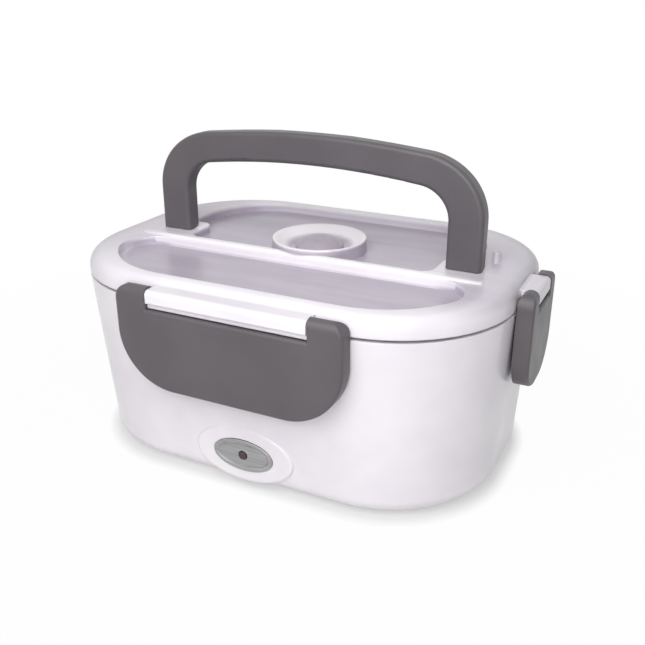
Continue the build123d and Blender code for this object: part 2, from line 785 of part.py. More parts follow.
tray_block = tapered_block(
    plate_top, seam_height, tray_inset + tub_draft, tray_inset, tray_floor_rounding)
tray_hollow = tapered_block(
    plate_top + tray_sheet, tray_rim_top,
    tray_inset + tub_draft + tray_sheet, tray_inset + tray_sheet, tray_floor_rounding - tray_sheet)
with BuildPart() as food_tray:
    add(tray_block)
    with BuildSketch(Plane.XY.offset(seam_height)):
        seam_plan(tray_rim_inset)
    extrude(amount=tray_sheet)
    add(tray_hollow, mode=Mode.SUBTRACT)
save(food_tray, "food_tray")

# ---- lid -----------------------------------------------------------------------------------


recess_length = body_length - 2 * recess_end_margin
recess_width = body_width - 2 * recess_side_margin
recess_corner = corner_radius - recess_side_margin
rear_recess_start = ridge_y + ridge_width / 2 + rear_recess_gap
rear_recess_step = handle_thickness / 2 + rear_recess_foot_gap
rear_recess_back = recess_width / 2 - rear_recess_back_inset
rear_recess_neck = 2 * (handle_half_span - leg_width - neck_gap)
rear_recess_length = recess_length - 2 * rear_recess_end_inset


def front_recess(margin=0.0):
    """Half-moon outline of the recess in front of the ridge, grown by a margin."""
    ridge_front = ridge_y - ridge_width / 2
    with BuildSketch(mode=Mode.PRIVATE) as outline:
        RectangleRounded(recess_length, recess_width, recess_corner)
        with Locations((0, ridge_front - recess_width)):
            Rectangle(2 * recess_length, 2 * recess_width, mode=Mode.INTERSECT)
        # drawn in and grown back, which rounds the ends by the same amount
        offset(amount=-front_recess_end_radius)
        offset(amount=front_recess_end_radius + margin)
    return outline.sketch


def rear_recess(margin=0.0):
    """Outline of the recess behind the ridge, stepped in between the handle feet."""
    neck_middle = (rear_recess_start + rear_recess_back) / 2
    back_middle = (rear_recess_step + rear_recess_back) / 2
    with BuildSketch(mode=Mode.PRIVATE) as outline:
        with Locations((0, neck_middle)):
            Rectangle(rear_recess_neck, rear_recess_back - rear_recess_start)
        with Locations((0, back_middle)):
            Rectangle(rear_recess_length, rear_recess_back - rear_recess_step)
        fillet(outline.vertices().group_by(Axis.Y)[-1], rear_recess_corner)
        fillet(outline.vertices().filter_by(lambda v: v.Y < rear_recess_step + 1),
               rear_recess_small_corner)
        if margin:
            offset(amount=margin)
    return outline.sketch


def rail_profile(plane, pivot):
    """Section of a rail about its pivot: joined to the lid wall, rounded on top, stepped below."""
    wall_face = -(clip_half_depth + clip_gap)
    back = wall_face - lid_wall / 2
    face = clip_half_depth - rail_face_inset
    top = clip_half_depth - rail_top_drop
    wall_bottom = lid_bottom - pivot
    with BuildSketch(plane, mode=Mode.PRIVATE) as section:
        with BuildLine():
            Polyline(
                (back, top),
                (face, top),
                (face, -rail_step_drop),
                (face - rail_step_depth, -rail_step_drop),
                (face - rail_step_depth, -rail_drop),
                (back, -rail_drop),
                close=True,
            )
        make_face()
        fillet(section.vertices().group_by(Axis.Y)[-1].sort_by(Axis.X)[-1], rail_rounding)
        # what hangs below the lid stands clear of the body
        with Locations((wall_face + rail_seam_gap, wall_bottom)):
            Rectangle(
                lid_wall, 2 * rail_drop, align=(Align.MAX, Align.MAX), mode=Mode.SUBTRACT)
    return section.sketch


with BuildPart() as ridge:
    with BuildSketch(Plane.XY.offset(lid_ceiling)):
        with Locations((0, ridge_y)):
            SlotOverall(body_length - 2 * ridge_end_margin, ridge_width)
    extrude(amount=lid_wall + ridge_rise)
    fillet(ridge.edges().group_by(Axis.Z)[-1], ridge_rounding)

rib_top = lid_ceiling + lid_wall / 2
locating_rib_inset = tray_inset + tray_sheet + locating_rib_gap
stem_rib_bottom = tray_rim_top + gasket_lip_height + gasket_rib_gap
with BuildPart() as lid_shell:
    with BuildSketch(Plane.XY.offset(lid_bottom)):
        seam_plan(0)
    extrude(amount=lid_top - lid_bottom)
    fillet(lid_shell.edges().group_by(Axis.Z)[-1], lid_edge_rounding)
    # hollow underside, then ribs that hold the gasket and centre the lid in the tray
    hollow_top = lid_top - lid_edge_rounding
    with BuildSketch(Plane.XY.offset(lid_bottom)):
        seam_plan(lid_wall)
    extrude(amount=hollow_top - lid_bottom, mode=Mode.SUBTRACT)
    with BuildSketch(Plane.XY.offset(hollow_top)):
        seam_plan((lid_wall + lid_edge_rounding) / 2)
    extrude(amount=lid_ceiling - hollow_top, mode=Mode.SUBTRACT)
    ribs = (
        (gasket_stem_outer_inset - gasket_rib_gap - gasket_rib, stem_rib_bottom),
        (gasket_stem_inner_inset + gasket_rib_gap, stem_rib_bottom),
        (locating_rib_inset, seam_height - locating_rib_drop),
    )
    for rib_inset, rib_bottom in ribs:
        with BuildSketch(Plane.XY.offset(rib_bottom)):
            add(seam_ring(rib_inset, rib_inset + gasket_rib))
        extrude(amount=rib_top - rib_bottom)
    # sunk pans on both sides of the ridge
    for recess in (front_recess, rear_recess):
        with BuildSketch(Plane.XY.offset(recess_floor - pan_thickness)):
            add(recess(pan_thickness))
        extrude(amount=lid_ceiling - recess_floor + pan_thickness)
    for recess in (front_recess, rear_recess):
        with BuildSketch(Plane.XY.offset(recess_floor)):
            add(recess())
        extrude(amount=lid_top - recess_floor, mode=Mode.SUBTRACT)
    add(ridge.part)
    # raised dish of the steam vent
    with BuildSketch(Plane.XY.offset(recess_floor - pan_thickness)):
        with Locations((0, vent_y)):
            Circle(vent_base_radius - lid_wall / 2)
    extrude(amount=lid_top, mode=Mode.SUBTRACT)
    vent_plane = Plane(origin=(0, vent_y, 0), x_dir=(1, 0, 0), z_dir=(0, -1, 0))
    dish_under = vent_rim_height - lid_wall
    with BuildSketch(vent_plane):
        with BuildLine():
            Polyline(
                (vent_hole_radius, vent_well_height),
                (vent_well_radius, vent_well_height),
                (vent_rim_radius, vent_rim_height),
                (vent_rim_radius + vent_rim_land, vent_rim_height),
                (vent_base_radius, recess_floor - pan_thickness),
                (vent_base_radius - lid_wall, recess_floor - pan_thickness),
                (vent_rim_radius - lid_wall / 2, dish_under),
                (vent_well_radius + vent_draft, vent_well_height - pan_thickness),
                (vent_hole_radius, vent_well_height - pan_thickness),
                close=True,
            )
        make_face()
    revolve(axis=Axis((0, vent_y, 0), (0, 0, 1)))
    # rails that the clips hang on
    for side in clip_sides.values():
        pivot, reach = clip_pivot(side)
        section = cross_plane(side["turn"], reach, pivot)
        extrude(rail_profile(section, pivot), amount=side["notch"] - ear_gap, both=True)
        bore_start = side["notch"] - clip_pin_length - clip_pin_end_gap
        for direction in (-1, 1):
            with BuildSketch(section.offset(direction * bore_start)):
                Circle(clip_pin_radius + clip_pin_fit)
            extrude(amount=direction * clip_pin_length, mode=Mode.SUBTRACT)
    # lugs for the handle
    for direction in (-1, 1):
        with BuildSketch(Plane.YZ.offset(direction * leg_middle)):
            with Locations((0, handle_pivot)):
                Circle(lug_radius)
            with Locations((0, (lid_ceiling + handle_pivot) / 2)):
                Rectangle(2 * lug_radius, handle_pivot - lid_ceiling)
            with Locations((0, handle_pivot)):
                Circle(handle_pin_radius, mode=Mode.SUBTRACT)
        extrude(amount=lug_width / 2, both=True)
save(lid_shell, "lid_shell")

with BuildPart() as lid_gasket:
    gasket_levels = (
        (gasket_outer_inset, gasket_inner_inset, tray_rim_top, gasket_lip_height),
        (gasket_stem_outer_inset, gasket_stem_inner_inset, tray_rim_top + gasket_lip_height,
         lid_ceiling - tray_rim_top - gasket_lip_height),
    )
    for outer_inset, inner_inset, level, height in gasket_levels:
        with BuildSketch(Plane.XY.offset(level)):
            add(seam_ring(outer_inset, inner_inset))
        extrude(amount=height)
save(lid_gasket, "lid_gasket")

with BuildPart() as vent_plug:
    with BuildSketch(vent_plane):
        with BuildLine():
            dome_edge = (plug_radius, vent_well_height + plug_edge_height)
            dome_crown = (plug_dimple_radius + plug_dimple_slope, plug_top)
            Polyline(
                dome_edge,
                (plug_radius, vent_well_height),
                (vent_hole_radius - plug_stem_gap, vent_well_height),
                (vent_hole_radius - plug_stem_gap, vent_well_height - plug_stem_length),
                (0, vent_well_height - plug_stem_length),
                (0, plug_top - plug_dimple_depth),
                (plug_dimple_radius - plug_dimple_slope, plug_top - plug_dimple_depth),
                dome_crown,
            )
            dome_side = (plug_radius * plug_crown_share, plug_top - plug_crown_drop)
            ThreePointArc(dome_crown, dome_side, dome_edge)
        make_face()
    revolve(axis=Axis((0, vent_y, 0), (0, 0, 1)))
save(vent_plug, "vent_plug")

# ---- handle --------------------------------------------------------------------------------

foot_bottom = handle_pivot - handle_thickness / 2
with BuildPart() as handle:
    with BuildSketch(Plane.XZ) as arch:
        with BuildLine():
            inner_span = handle_half_span - leg_width
            Line((-handle_half_span, foot_bottom), (-handle_half_span, handle_shoulder))
            ThreePointArc(
                (-handle_half_span, handle_shoulder), (0, handle_crown),
                (handle_half_span, handle_shoulder))
            Line((handle_half_span, handle_shoulder), (handle_half_span, foot_bottom))
            Line((handle_half_span, foot_bottom), (inner_span, foot_bottom))
            Line((inner_span, foot_bottom), (inner_span, handle_shoulder - bar_height))
            ThreePointArc(
                (inner_span, handle_shoulder - bar_height), (0, handle_crown - bar_height),
                (-inner_span, handle_shoulder - bar_height))
            Line((-inner_span, handle_shoulder - bar_height), (-inner_span, foot_bottom))
            Line((-inner_span, foot_bottom), (-handle_half_span, foot_bottom))
        make_face()
        shoulders = arch.vertices().filter_by(lambda v: v.Y > foot_bottom + 1)
        fillet(shoulders.filter_by(lambda v: abs(v.X) > inner_span + 1), handle_outer_corner)
        inner_corners = arch.vertices().filter_by(
            lambda v: v.Y > foot_bottom + 1 and abs(abs(v.X) - inner_span) < 0.01)
        fillet(inner_corners, handle_inner_corner)
    extrude(amount=handle_thickness / 2, both=True)
    long_edges = handle.edges().filter_by(
        lambda e: abs(abs(e.center().Y) - handle_thickness / 2) < 0.01
        and e.center().Z > foot_bottom + 1)
    fillet(long_edges, handle_edge_rounding)
    for direction in (-1, 1):
        # the back of each foot is rounded about the pivot, so that the handle can fold
        with BuildSketch(Plane.YZ.offset(direction * leg_middle)):
            with Locations((handle_thickness / 2, foot_bottom)):
                Rectangle(handle_thickness, handle_thickness)
            with Locations((0, handle_pivot)):
                Circle(handle_thickness / 2, mode=Mode.SUBTRACT)
        extrude(amount=leg_width, both=True, mode=Mode.SUBTRACT)
        # slot for the lug, open below and behind
        slot_radius = lug_radius + lug_slot_gap
        slot_width = lug_width + 2 * lug_side_gap
        with BuildSketch(Plane.YZ.offset(direction * leg_middle)):
            with Locations((0, handle_pivot)):
                Circle(slot_radius)
            with Locations((0, handle_pivot - handle_thickness / 2)):
                Rectangle(2 * slot_radius, handle_thickness)
            with Locations((handle_thickness / 2, handle_pivot)):
                Rectangle(handle_thickness, 2 * slot_radius)
            with Locations((handle_thickness / 2, handle_pivot - handle_thickness / 2)):
                Rectangle(handle_thickness, handle_thickness)
        extrude(amount=slot_width / 2, both=True, mode=Mode.SUBTRACT)
        # blind bores for the pin
        with BuildSketch(Plane.YZ.offset(direction * leg_middle)):
            with Locations((0, handle_pivot)):
                Circle(handle_pin_radius + handle_pin_fit)
        bore_half = lug_width / 2 + handle_pin_reach + handle_pin_end_gap
        extrude(amount=bore_half, both=True, mode=Mode.SUBTRACT)
save(handle, "handle")

with BuildPart() as handle_pins:
    for direction in (-1, 1):
        with BuildSketch(Plane.YZ.offset(direction * leg_middle)):
            with Locations((0, handle_pivot)):
                Circle(handle_pin_radius)
        extrude(amount=lug_width / 2 + handle_pin_reach, both=True)
save(handle_pins, "handle_pins")

# ---- clips ---------------------------------------------------------------------------------


def clip_outline(half_width, notch, corner):
    """Front view of a clip about its pivot: two ears above a plate with round lower corners."""
    top = clip_half_depth
    with BuildSketch(mode=Mode.PRIVATE) as outline:
        with BuildLine():
            Polyline(
                (-half_width, top),
                (-notch, top),
                (-notch, -notch_drop),
                (notch, -notch_drop),
                (notch, top),
                (half_width, top),
                (half_width, -clip_length),
                (-half_width, -clip_length),
                close=True,
            )
        make_face()
        fillet(outline.vertices().group_by(Axis.Y)[0], corner)
        outer = outline.vertices().group_by(Axis.Y)[-1]
        fillet(outer.filter_by(lambda v: abs(v.X) > half_width - 0.1), ear_corner)
    return outline.sketch


def clip_section(plane):
    """Side view of a clip: upright face and back, and ears rounded about the pivot."""
    with BuildSketch(plane, mode=Mode.PRIVATE) as section:
        Circle(clip_half_depth)
        with Locations((0, -clip_length / 2)):
            Rectangle(2 * clip_half_depth, clip_length)
    return section.sketch


def make_clip(side):
    """One clip, closed: an open-backed plate with ears, pivot pins and a hook."""
    pivot, reach = clip_pivot(side)
    face = side_plane(side["turn"], reach, pivot)
    section = cross_plane(side["turn"], reach, pivot)
    half_width = side["half_width"]
    notch = side["notch"]
    depth = 2 * clip_half_depth
    back = face.offset(-clip_half_depth)
    with BuildPart() as clip:
        with BuildSketch(back):
            add(clip_outline(half_width, notch, side["corner"]))
        extrude(amount=depth)
        front_edges = clip.faces().sort_by(Axis(face.origin, face.z_dir))[-1].edges()
        plate_edges = front_edges.filter_by(
            lambda e: face.to_local_coords(e.center()).Y < clip_half_depth - 0.1)
        fillet(plate_edges, clip_edge_rounding)
        extrude(clip_section(section), amount=half_width, both=True, mode=Mode.INTERSECT)
        # open back
        pocket_top = -notch_drop - clip_side_wall
        pocket_bottom = clip_side_wall - clip_length
        with BuildSketch(back) as pocket:
            with Locations((0, (pocket_top + pocket_bottom) / 2)):
                Rectangle(2 * (half_width - clip_side_wall), pocket_top - pocket_bottom)
            fillet(pocket.vertices().group_by(Axis.Y)[0], side["corner"] - clip_side_wall)
            fillet(pocket.vertices().group_by(Axis.Y)[-1], clip_side_wall)
        extrude(amount=depth - clip_sheet, mode=Mode.SUBTRACT)
        # hook that closes below the catch rib of the body
        hook_top = catch_bottom - hook_gap - pivot
        hook_tip = -clip_half_depth
        with BuildSketch(section):
            with BuildLine():
                Polyline(
                    (hook_tip, hook_top),
                    (clip_half_depth - clip_sheet / 2, hook_top),
                    (clip_half_depth - clip_sheet / 2, hook_top - hook_height - hook_root),
                    (hook_tip + hook_root, hook_top - hook_height),
                    (hook_tip, hook_top - hook_height),
                    close=True,
                )
            make_face()
        extrude(amount=half_width - clip_side_wall - hook_side_inset, both=True)
        # pivot pins between the ears and the rail
        for direction in (-1, 1):
            with BuildSketch(section.offset(direction * (notch - clip_pin_length))):
                Circle(clip_pin_radius)
            extrude(amount=direction * (clip_pin_length + clip_side_wall))
    return clip


for name, side in clip_sides.items():
    save(make_clip(side), f"clip_{name}")
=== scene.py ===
"""Electric lunch box in a plain studio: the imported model, dressed with finishes and fine pieces.

Sizes are in millimetres, in the model's own frame: +X right, -Y to the front, +Z up.  A mesh is
turned into metres when it is made.
"""
import logging
from dataclasses import dataclass, field
from enum import Enum
from math import cos, pi, radians, sin
from typing import Any, Sequence

import bpy
from mathutils import Matrix, Vector


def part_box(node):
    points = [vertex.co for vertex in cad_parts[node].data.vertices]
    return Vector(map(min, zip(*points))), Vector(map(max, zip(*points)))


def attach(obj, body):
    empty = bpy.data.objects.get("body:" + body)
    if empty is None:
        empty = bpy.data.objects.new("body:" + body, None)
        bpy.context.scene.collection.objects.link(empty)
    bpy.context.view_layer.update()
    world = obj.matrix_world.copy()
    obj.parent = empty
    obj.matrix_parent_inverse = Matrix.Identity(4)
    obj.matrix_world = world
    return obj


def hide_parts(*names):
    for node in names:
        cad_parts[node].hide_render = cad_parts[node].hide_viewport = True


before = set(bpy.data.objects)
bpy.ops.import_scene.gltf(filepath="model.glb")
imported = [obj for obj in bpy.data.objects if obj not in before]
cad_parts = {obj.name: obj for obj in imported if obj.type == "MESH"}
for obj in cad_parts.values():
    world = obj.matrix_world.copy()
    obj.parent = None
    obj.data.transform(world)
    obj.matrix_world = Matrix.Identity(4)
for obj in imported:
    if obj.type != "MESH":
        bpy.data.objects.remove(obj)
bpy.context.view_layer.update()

log = logging.getLogger("lunch_box")

MM = 0.001
Point = tuple[float, float, float]
Socket = bpy.types.NodeSocket


# ---- colours and shader nodes --------------------------------------------------------------


def linear(hex_colour: str) -> tuple[float, float, float, float]:
    """Turn an sRGB hex colour into the linear colour that a shader works with.

    Args:
        hex_colour: six hex digits after a hash sign.

    Returns:
        Linear red, green and blue, and an alpha of one.
    """
    channels = [int(hex_colour[i:i + 2], 16) / 255 for i in (1, 3, 5)]
    curve = [c / 12.92 if c <= 0.04045 else ((c + 0.055) / 1.055) ** 2.4 for c in channels]
    return (curve[0], curve[1], curve[2], 1.0)


def add_node(
    tree: bpy.types.NodeTree,
    kind: str,
    settings: dict[str, Any] | None = None,
    inputs: dict[str | int, Any] | None = None,
) -> bpy.types.Node:
    """Add one shader node, set its fields and fill or link its inputs.

    Args:
        tree: the node tree that takes it.
        kind: Blender's name for the kind of node.
        settings: fields of the node itself.
        inputs: a value, or an output socket to link, for each input by name or number.

    Returns:
        The new node.
    """
    node = tree.nodes.new(kind)
    for name, value in (settings or {}).items():
        setattr(node, name, value)
    for name, value in (inputs or {}).items():
        if isinstance(value, bpy.types.NodeSocket):
            tree.links.new(value, node.inputs[name])
        else:
            node.inputs[name].default_value = value
    return node


@dataclass
class Surface:
    """A material being built, with the coordinates that its patterns share."""

    name: str
    material: bpy.types.Material = field(init=False)
    tree: bpy.types.NodeTree = field(init=False)
    place: Socket = field(init=False)
    shader: bpy.types.Node = field(init=False)

    def __post_init__(self) -> None:
        """Start the material with a bare shader and object coordinates."""
        self.material = bpy.data.materials.new(self.name)
        self.material.use_nodes = True
        self.tree = self.material.node_tree
        self.tree.nodes.clear()
        self.place = self.add("ShaderNodeTexCoord").outputs["Object"]
        self.shader = self.add("ShaderNodeBsdfPrincipled")
        self.add("ShaderNodeOutputMaterial", inputs={"Surface": self.shader.outputs[0]})

    def add(
        self,
        kind: str,
        settings: dict[str, Any] | None = None,
        inputs: dict[str | int, Any] | None = None,
    ) -> bpy.types.Node:
        """Add a node to this material's tree."""
        return add_node(self.tree, kind, settings, inputs)

    def fix(self, **values: Any) -> None:
        """Set values that are the same all over the surface, named with underscores.

        Args:
            values: shader inputs in lower case, such as coat_roughness.
        """
        for name, value in values.items():
            label = name.replace("_", " ").title().replace("Ior", "IOR")
            self.shader.inputs[label].default_value = value

    def feed(self, name: str, source: Socket) -> None:
        """Link a pattern to one of the shader's inputs."""
        self.tree.links.new(source, self.shader.inputs[name])

    def along(self, axis: str) -> Socket:
        """Place along X, Y or Z, in metres."""
        return self.add("ShaderNodeSeparateXYZ", inputs={0: self.place}).outputs[axis]

    def away(self, axis: str, middle_mm: float = 0.0) -> Socket:
        """Distance to either side of a plane across X, Y or Z, in metres."""
        shifted = self.combined("SUBTRACT", self.along(axis), middle_mm * MM)
        return self.add("ShaderNodeMath", {"operation": "ABSOLUTE"}, {0: shifted}).outputs[0]

    def flat_length(self, across: Socket, deep: Socket) -> Socket:
        """Length of a level line from how far it runs along X and along Y."""
        flat = self.add("ShaderNodeCombineXYZ", inputs={0: across, 1: deep}).outputs[0]
        return self.add("ShaderNodeVectorMath", {"operation": "LENGTH"}, {0: flat}).outputs["Value"]

    def blotches(self, size_mm: float, detail: float = 2.0, stretch: Point = (1, 1, 1)) -> Socket:
        """Cloudy pattern whose blotches have a real size.

        Args:
            size_mm: rough size of a blotch.
            detail: finer layers on top of it.
            stretch: scale along each axis, below one where the blotches run on into lines.

        Returns:
            The pattern, around one half.
        """
        where = self.place
        if stretch != (1, 1, 1):
            where = self.add("ShaderNodeMapping", {"vector_type": "POINT"}, {
                "Vector": self.place, "Scale": stretch}).outputs[0]
        texture = self.add("ShaderNodeTexNoise", inputs={
            "Vector": where, "Scale": 1 / (size_mm * MM), "Detail": detail})
        return texture.outputs["Fac"]

    def spread(self, pattern: Socket, low: float, high: float, start: float = 0.0,
               end: float = 1.0) -> Socket:
        """Spread a pattern between two values.

        Args:
            pattern: the pattern.
            low: value of the pattern that gives start.
            high: value of the pattern that gives end.
            start: first value.
            end: last value.

        Returns:
            The new value, held between start and end.
        """
        node = self.add("ShaderNodeMapRange", inputs={
            "Value": pattern, "From Min": low, "From Max": high, "To Min": start, "To Max": end})
        return node.outputs[0]

    def share(self, size: Socket, none_mm: float, full_mm: float, least: float = 0.0) -> Socket:
        """Share that grows to one while a distance or a level passes between two sizes.

        Args:
            size: the distance or level, in metres.
            none_mm: size at which the share is least.
            full_mm: size at which it is one; it may be the smaller of the two.
            least: the least share.

        Returns:
            The share.
        """
        return self.spread(size, none_mm * MM, full_mm * MM, least, 1.0)

    def combined(self, operation: str, *values: Any) -> Socket:
        """Work out one value from several, from the first to the last.

        Args:
            operation: Blender's name for what joins two values.
            values: numbers or value sockets.

        Returns:
            The result.
        """
        total = values[0]
        for value in values[1:]:
            total = self.add("ShaderNodeMath", {"operation": operation}, {
                0: total, 1: value}).outputs[0]
        return total

    def blend(self, factor: Socket, first: Any, second: Any) -> Socket:
        """Mix two colours.

        Args:
            factor: share of the second colour.
            first: a hex colour or a colour socket.
            second: a hex colour or a colour socket.

        Returns:
            The mixed colour.
        """
        sides = [linear(c) if isinstance(c, str) else c for c in (first, second)]
        mix = self.add("ShaderNodeMix", {"data_type": "RGBA"}, {
            0: factor, 6: sides[0], 7: sides[1]})
        return mix.outputs[2]

    def soft_edges(self, radius_mm: float) -> Socket:
        """Normal that rounds the edges of the surface, as a mould leaves them."""
        return self.add("ShaderNodeBevel", {"samples": 8}, {"Radius": radius_mm * MM}).outputs[0]

    def relief(self, height: Socket, depth_mm: float, below: Socket | None = None) -> Socket:
        """Normal of a surface that is raised by a pattern.

        Args:
            height: the pattern, from zero to one.
            depth_mm: height of the relief.
            below: normal of a coarser relief that this one lies on.

        Returns:
            The new normal.
        """
        inputs: dict[str | int, Any] = {"Height": height, "Distance": depth_mm * MM}
        if below is not None:
            inputs["Normal"] = below
        return self.add("ShaderNodeBump", inputs=inputs).outputs[0]


# ---- finishes ------------------------------------------------------------------------------


@dataclass(frozen=True)
class Recipe:
    """A finish, named for what the piece is made of and how its surface was made."""

    name: str

    def lay(self, surface: Surface) -> None:
        """Give a bare surface its colour, gloss and relief; each kind of finish has its own."""
        raise NotImplementedError

    def build(self) -> bpy.types.Material:
        """Make the material.

        Returns:
            The finished material.
        """
        surface = Surface(self.name)
        self.lay(surface)
        return surface.material


@dataclass(frozen=True)
class MouldedPlastic(Recipe):
    """Injection-moulded plastic: one colour with faint clouds, and the relief of its mould."""

    colour: str
    cloud_colour: str
    roughness: float
    ior: float = 1.5
    cloud_mm: float = 34.0
    wear_mm: float = 16.0
    wear: float = 0.04              # the gloss varies by this much either way
    # A mould's own grain is about 0.1 mm, too fine to show here, so it is drawn coarser.
    grain_mm: float = 1.1
    grain_depth_mm: float = 0.012
    sink_share: float = 0.6         # sink marks, against the size of the clouds
    sink_depth_mm: float = 0.05
    edge_mm: float = 0.4
    coat: float = 0.0
    coat_roughness: float = 0.08

    def tint(self, surface: Surface) -> Socket:
        """Colour of the surface: faint clouds, as pigment settles in the flow."""
        clouds = surface.spread(surface.blotches(self.cloud_mm), 0.35, 0.65)
        return surface.blend(clouds, self.colour, self.cloud_colour)

    def form(self, surface: Surface) -> Socket:
        """Normal of the moulded form, before the fine relief."""
        return surface.soft_edges(self.edge_mm)

    def lay(self, surface: Surface) -> None:
        """Give a bare surface the plastic's tint, uneven gloss, sink marks and grain.

        Args:
            surface: the bare surface.
        """
        surface.fix(ior=self.ior, coat_weight=self.coat, coat_roughness=self.coat_roughness)
        surface.feed("Base Color", self.tint(surface))
        surface.feed("Roughness", surface.spread(
            surface.blotches(self.wear_mm, 1.0), 0.3, 0.7,
            self.roughness - self.wear, self.roughness + self.wear))
        sinks = surface.blotches(self.cloud_mm * self.sink_share, 1.0)
        sunk = surface.relief(sinks, self.sink_depth_mm, self.form(surface))
        grain = surface.blotches(self.grain_mm, 1.0)
        surface.feed("Normal", surface.relief(grain, self.grain_depth_mm, sunk))


@dataclass(frozen=True)
class Rectangle:
    """Rounded rectangle about the origin, for patterns that follow the box."""

    length: float
    width: float
    corner: float

    def distance(self, surface: Surface) -> Socket:
        """Distance from the rectangle's straight core; at its edge it equals the corner radius.

        Args:
            surface: the material being built.

        Returns:
            The distance, in metres.
        """
        past = [
            surface.combined("MAXIMUM", surface.combined(
                "SUBTRACT", surface.away(axis), (size / 2 - self.corner) * MM), 0.0)
            for axis, size in (("X", self.length), ("Y", self.width))]
        return surface.flat_length(*past)


@dataclass(frozen=True)
class SunkenLidPlastic(MouldedPlastic):
    """Lid plastic: a crowned rim; sunken pans with painted lavender-grey shade, standing for the
    dark space below seen through them; and painted highlights on the raised parts.
    """

    # Painted shade of the pans, and the darker tone of its streaks: a painted reflection of the tray
    # below.
    pan_shade_colour: str = "#c2b9c5"
    pan_reflection_colour: str = "#b7b0be"
    streak_mm: float = 9.0
    streak_stretch: Point = (0.16, 1.0, 1.0)
    pan: Rectangle = Rectangle(202.0, 146.0, 52.5)
    pan_level: float = 103.0
    pan_edge: float = 5.0           # the painted shade weakens over this much towards the rim
    pan_edge_share: float = 0.25
    rim_start: float = 2.4          # the painted shade ends between these heights above the pans
    rim_end: float = 4.2
    step: float = 0.2               # width of a sharp change of tone
    outline: Rectangle = Rectangle(235.0, 168.0, 63.5)
    crown_width: float = 14.0
    crown_drop: float = 4.0
    ridge_y: float = -17.4
    ridge_half: float = 5.4
    ridge_fade: float = 0.6
    ridge_rise: float = 3.4
    ridge_full: float = 76.0        # the ridge's painted highlight fades between these, from the middle
    ridge_none: float = 103.0
    ends_none: float = 72.0         # the lid's ends get some painted shade between these
    ends_full: float = 98.0
    ends_shade_share: float = 0.5
    ends_low: float = 0.5           # heights above the pans between which that tone sets in
    ends_high: float = 3.5
    ends_front: float = -75.0       # and the places along Y
    ends_back: float = -40.0
    # Painted highlight: the ridge and the vent's ring are coloured whiter than the rim.
    highlight_colour: str = "#f8f4f8"
    highlight_low: float = 2.5
    highlight_high: float = 4.0
    vent_y: float = 8.5
    vent_wall: float = 25.7
    vent_top: float = 110.2
    vent_wall_near: float = 2.0     # the wall's painted shade ends between these, past the wall
    vent_wall_far: float = 3.0
    vent_lip: float = 1.2

    def form(self, surface: Surface) -> Socket:
        """Normal with soft edges, and a rim that falls away towards the outline.

        Args:
            surface: the material being built.

        Returns:
            The normal.
        """
        corner = self.outline.corner
        outward = surface.share(self.outline.distance(surface), corner - self.crown_width, corner)
        fall = surface.combined("MULTIPLY", outward, outward)
        crown = surface.combined("SUBTRACT", 1.0, fall)
        return surface.relief(crown, self.crown_drop, surface.soft_edges(self.edge_mm))

    def on_ridge(self, surface: Surface) -> Socket:
        """Share of the ridge between the pans.

        Args:
            surface: the material being built.

        Returns:
            One on the ridge, and none elsewhere.
        """
        across = surface.share(
            surface.away("Y", self.ridge_y), self.ridge_half + self.ridge_fade, self.ridge_half)
        lengthwise = surface.share(surface.away("X"), self.ridge_none, self.ridge_full)
        return surface.combined("MULTIPLY", across, lengthwise)

    def from_vent(self, surface: Surface) -> Socket:
        """Distance from the axis of the vent, in metres."""
        deep = surface.combined("SUBTRACT", surface.along("Y"), self.vent_y * MM)
        return surface.flat_length(surface.along("X"), deep)

    def painted_shade_on_pans(self, surface: Surface) -> Socket:
        """Share of the painted shade in the two pans.

        Args:
            surface: the material being built.

        Returns:
            One in the pans, less towards their edge, and none on the rim and the ridge.
        """
        distance = self.pan.distance(surface)
        corner = self.pan.corner
        lift = surface.combined("MULTIPLY", self.on_ridge(surface), self.ridge_rise * MM)
        height = surface.combined("ADD", surface.along("Z"), lift)
        inside = surface.share(distance, corner, corner - self.pan_edge, self.pan_edge_share)
        below_rim = surface.share(
            height, self.pan_level + self.rim_end, self.pan_level + self.rim_start)
        above_skirt = surface.share(distance, corner + self.step, corner)
        return surface.combined("MULTIPLY", inside, below_rim, above_skirt)

    def painted_shade_on_ends(self, surface: Surface) -> Socket:
        """Share of the painted shade on the lid's two ends.

        Args:
            surface: the material being built.

        Returns:
            The share, none in front and on the ridge.
        """
        # Painted shade: the lid's ends, behind the front, are darkened in their colour.
        outward = surface.share(surface.away("X"), self.ends_none, self.ends_full)
        on_top = surface.share(
            surface.along("Z"), self.pan_level + self.ends_low, self.pan_level + self.ends_high)
        behind = surface.share(surface.along("Y"), self.ends_front, self.ends_back)
        off_ridge = surface.combined("SUBTRACT", 1.0, self.on_ridge(surface))
        return surface.combined(
            "MULTIPLY", outward, on_top, self.ends_shade_share, behind, off_ridge)

    def painted_shade_on_vent_wall(self, surface: Surface) -> Socket:
        """Share of the painted shade on the outer wall of the vent dish.

        Args:
            surface: the material being built.

        Returns:
            One on the wall, and none elsewhere.
        """
        # Painted shade on the outer wall of the vent dish.
        radius = self.from_vent(surface)
        outside = surface.share(radius, self.vent_wall, self.vent_wall + self.step)
        near = surface.share(
            radius, self.vent_wall + self.vent_wall_far, self.vent_wall + self.vent_wall_near)
        below_lip = surface.share(surface.along("Z"), self.vent_top, self.vent_top - self.vent_lip)
        return surface.combined("MULTIPLY", outside, near, below_lip)

    def on_highlight(self, surface: Surface) -> Socket:
        """Share of the painted highlight.

        Args:
            surface: the material being built.

        Returns:
            One on the ridge and on the ring of the vent, and none elsewhere.
        """
        ring = surface.share(self.from_vent(surface), self.vent_wall + self.step, self.vent_wall)
        raised = surface.share(
            surface.along("Z"), self.pan_level + self.highlight_low, self.pan_level + self.highlight_high)
        return surface.combined(
            "MULTIPLY", surface.combined("MAXIMUM", ring, self.on_ridge(surface)), raised)

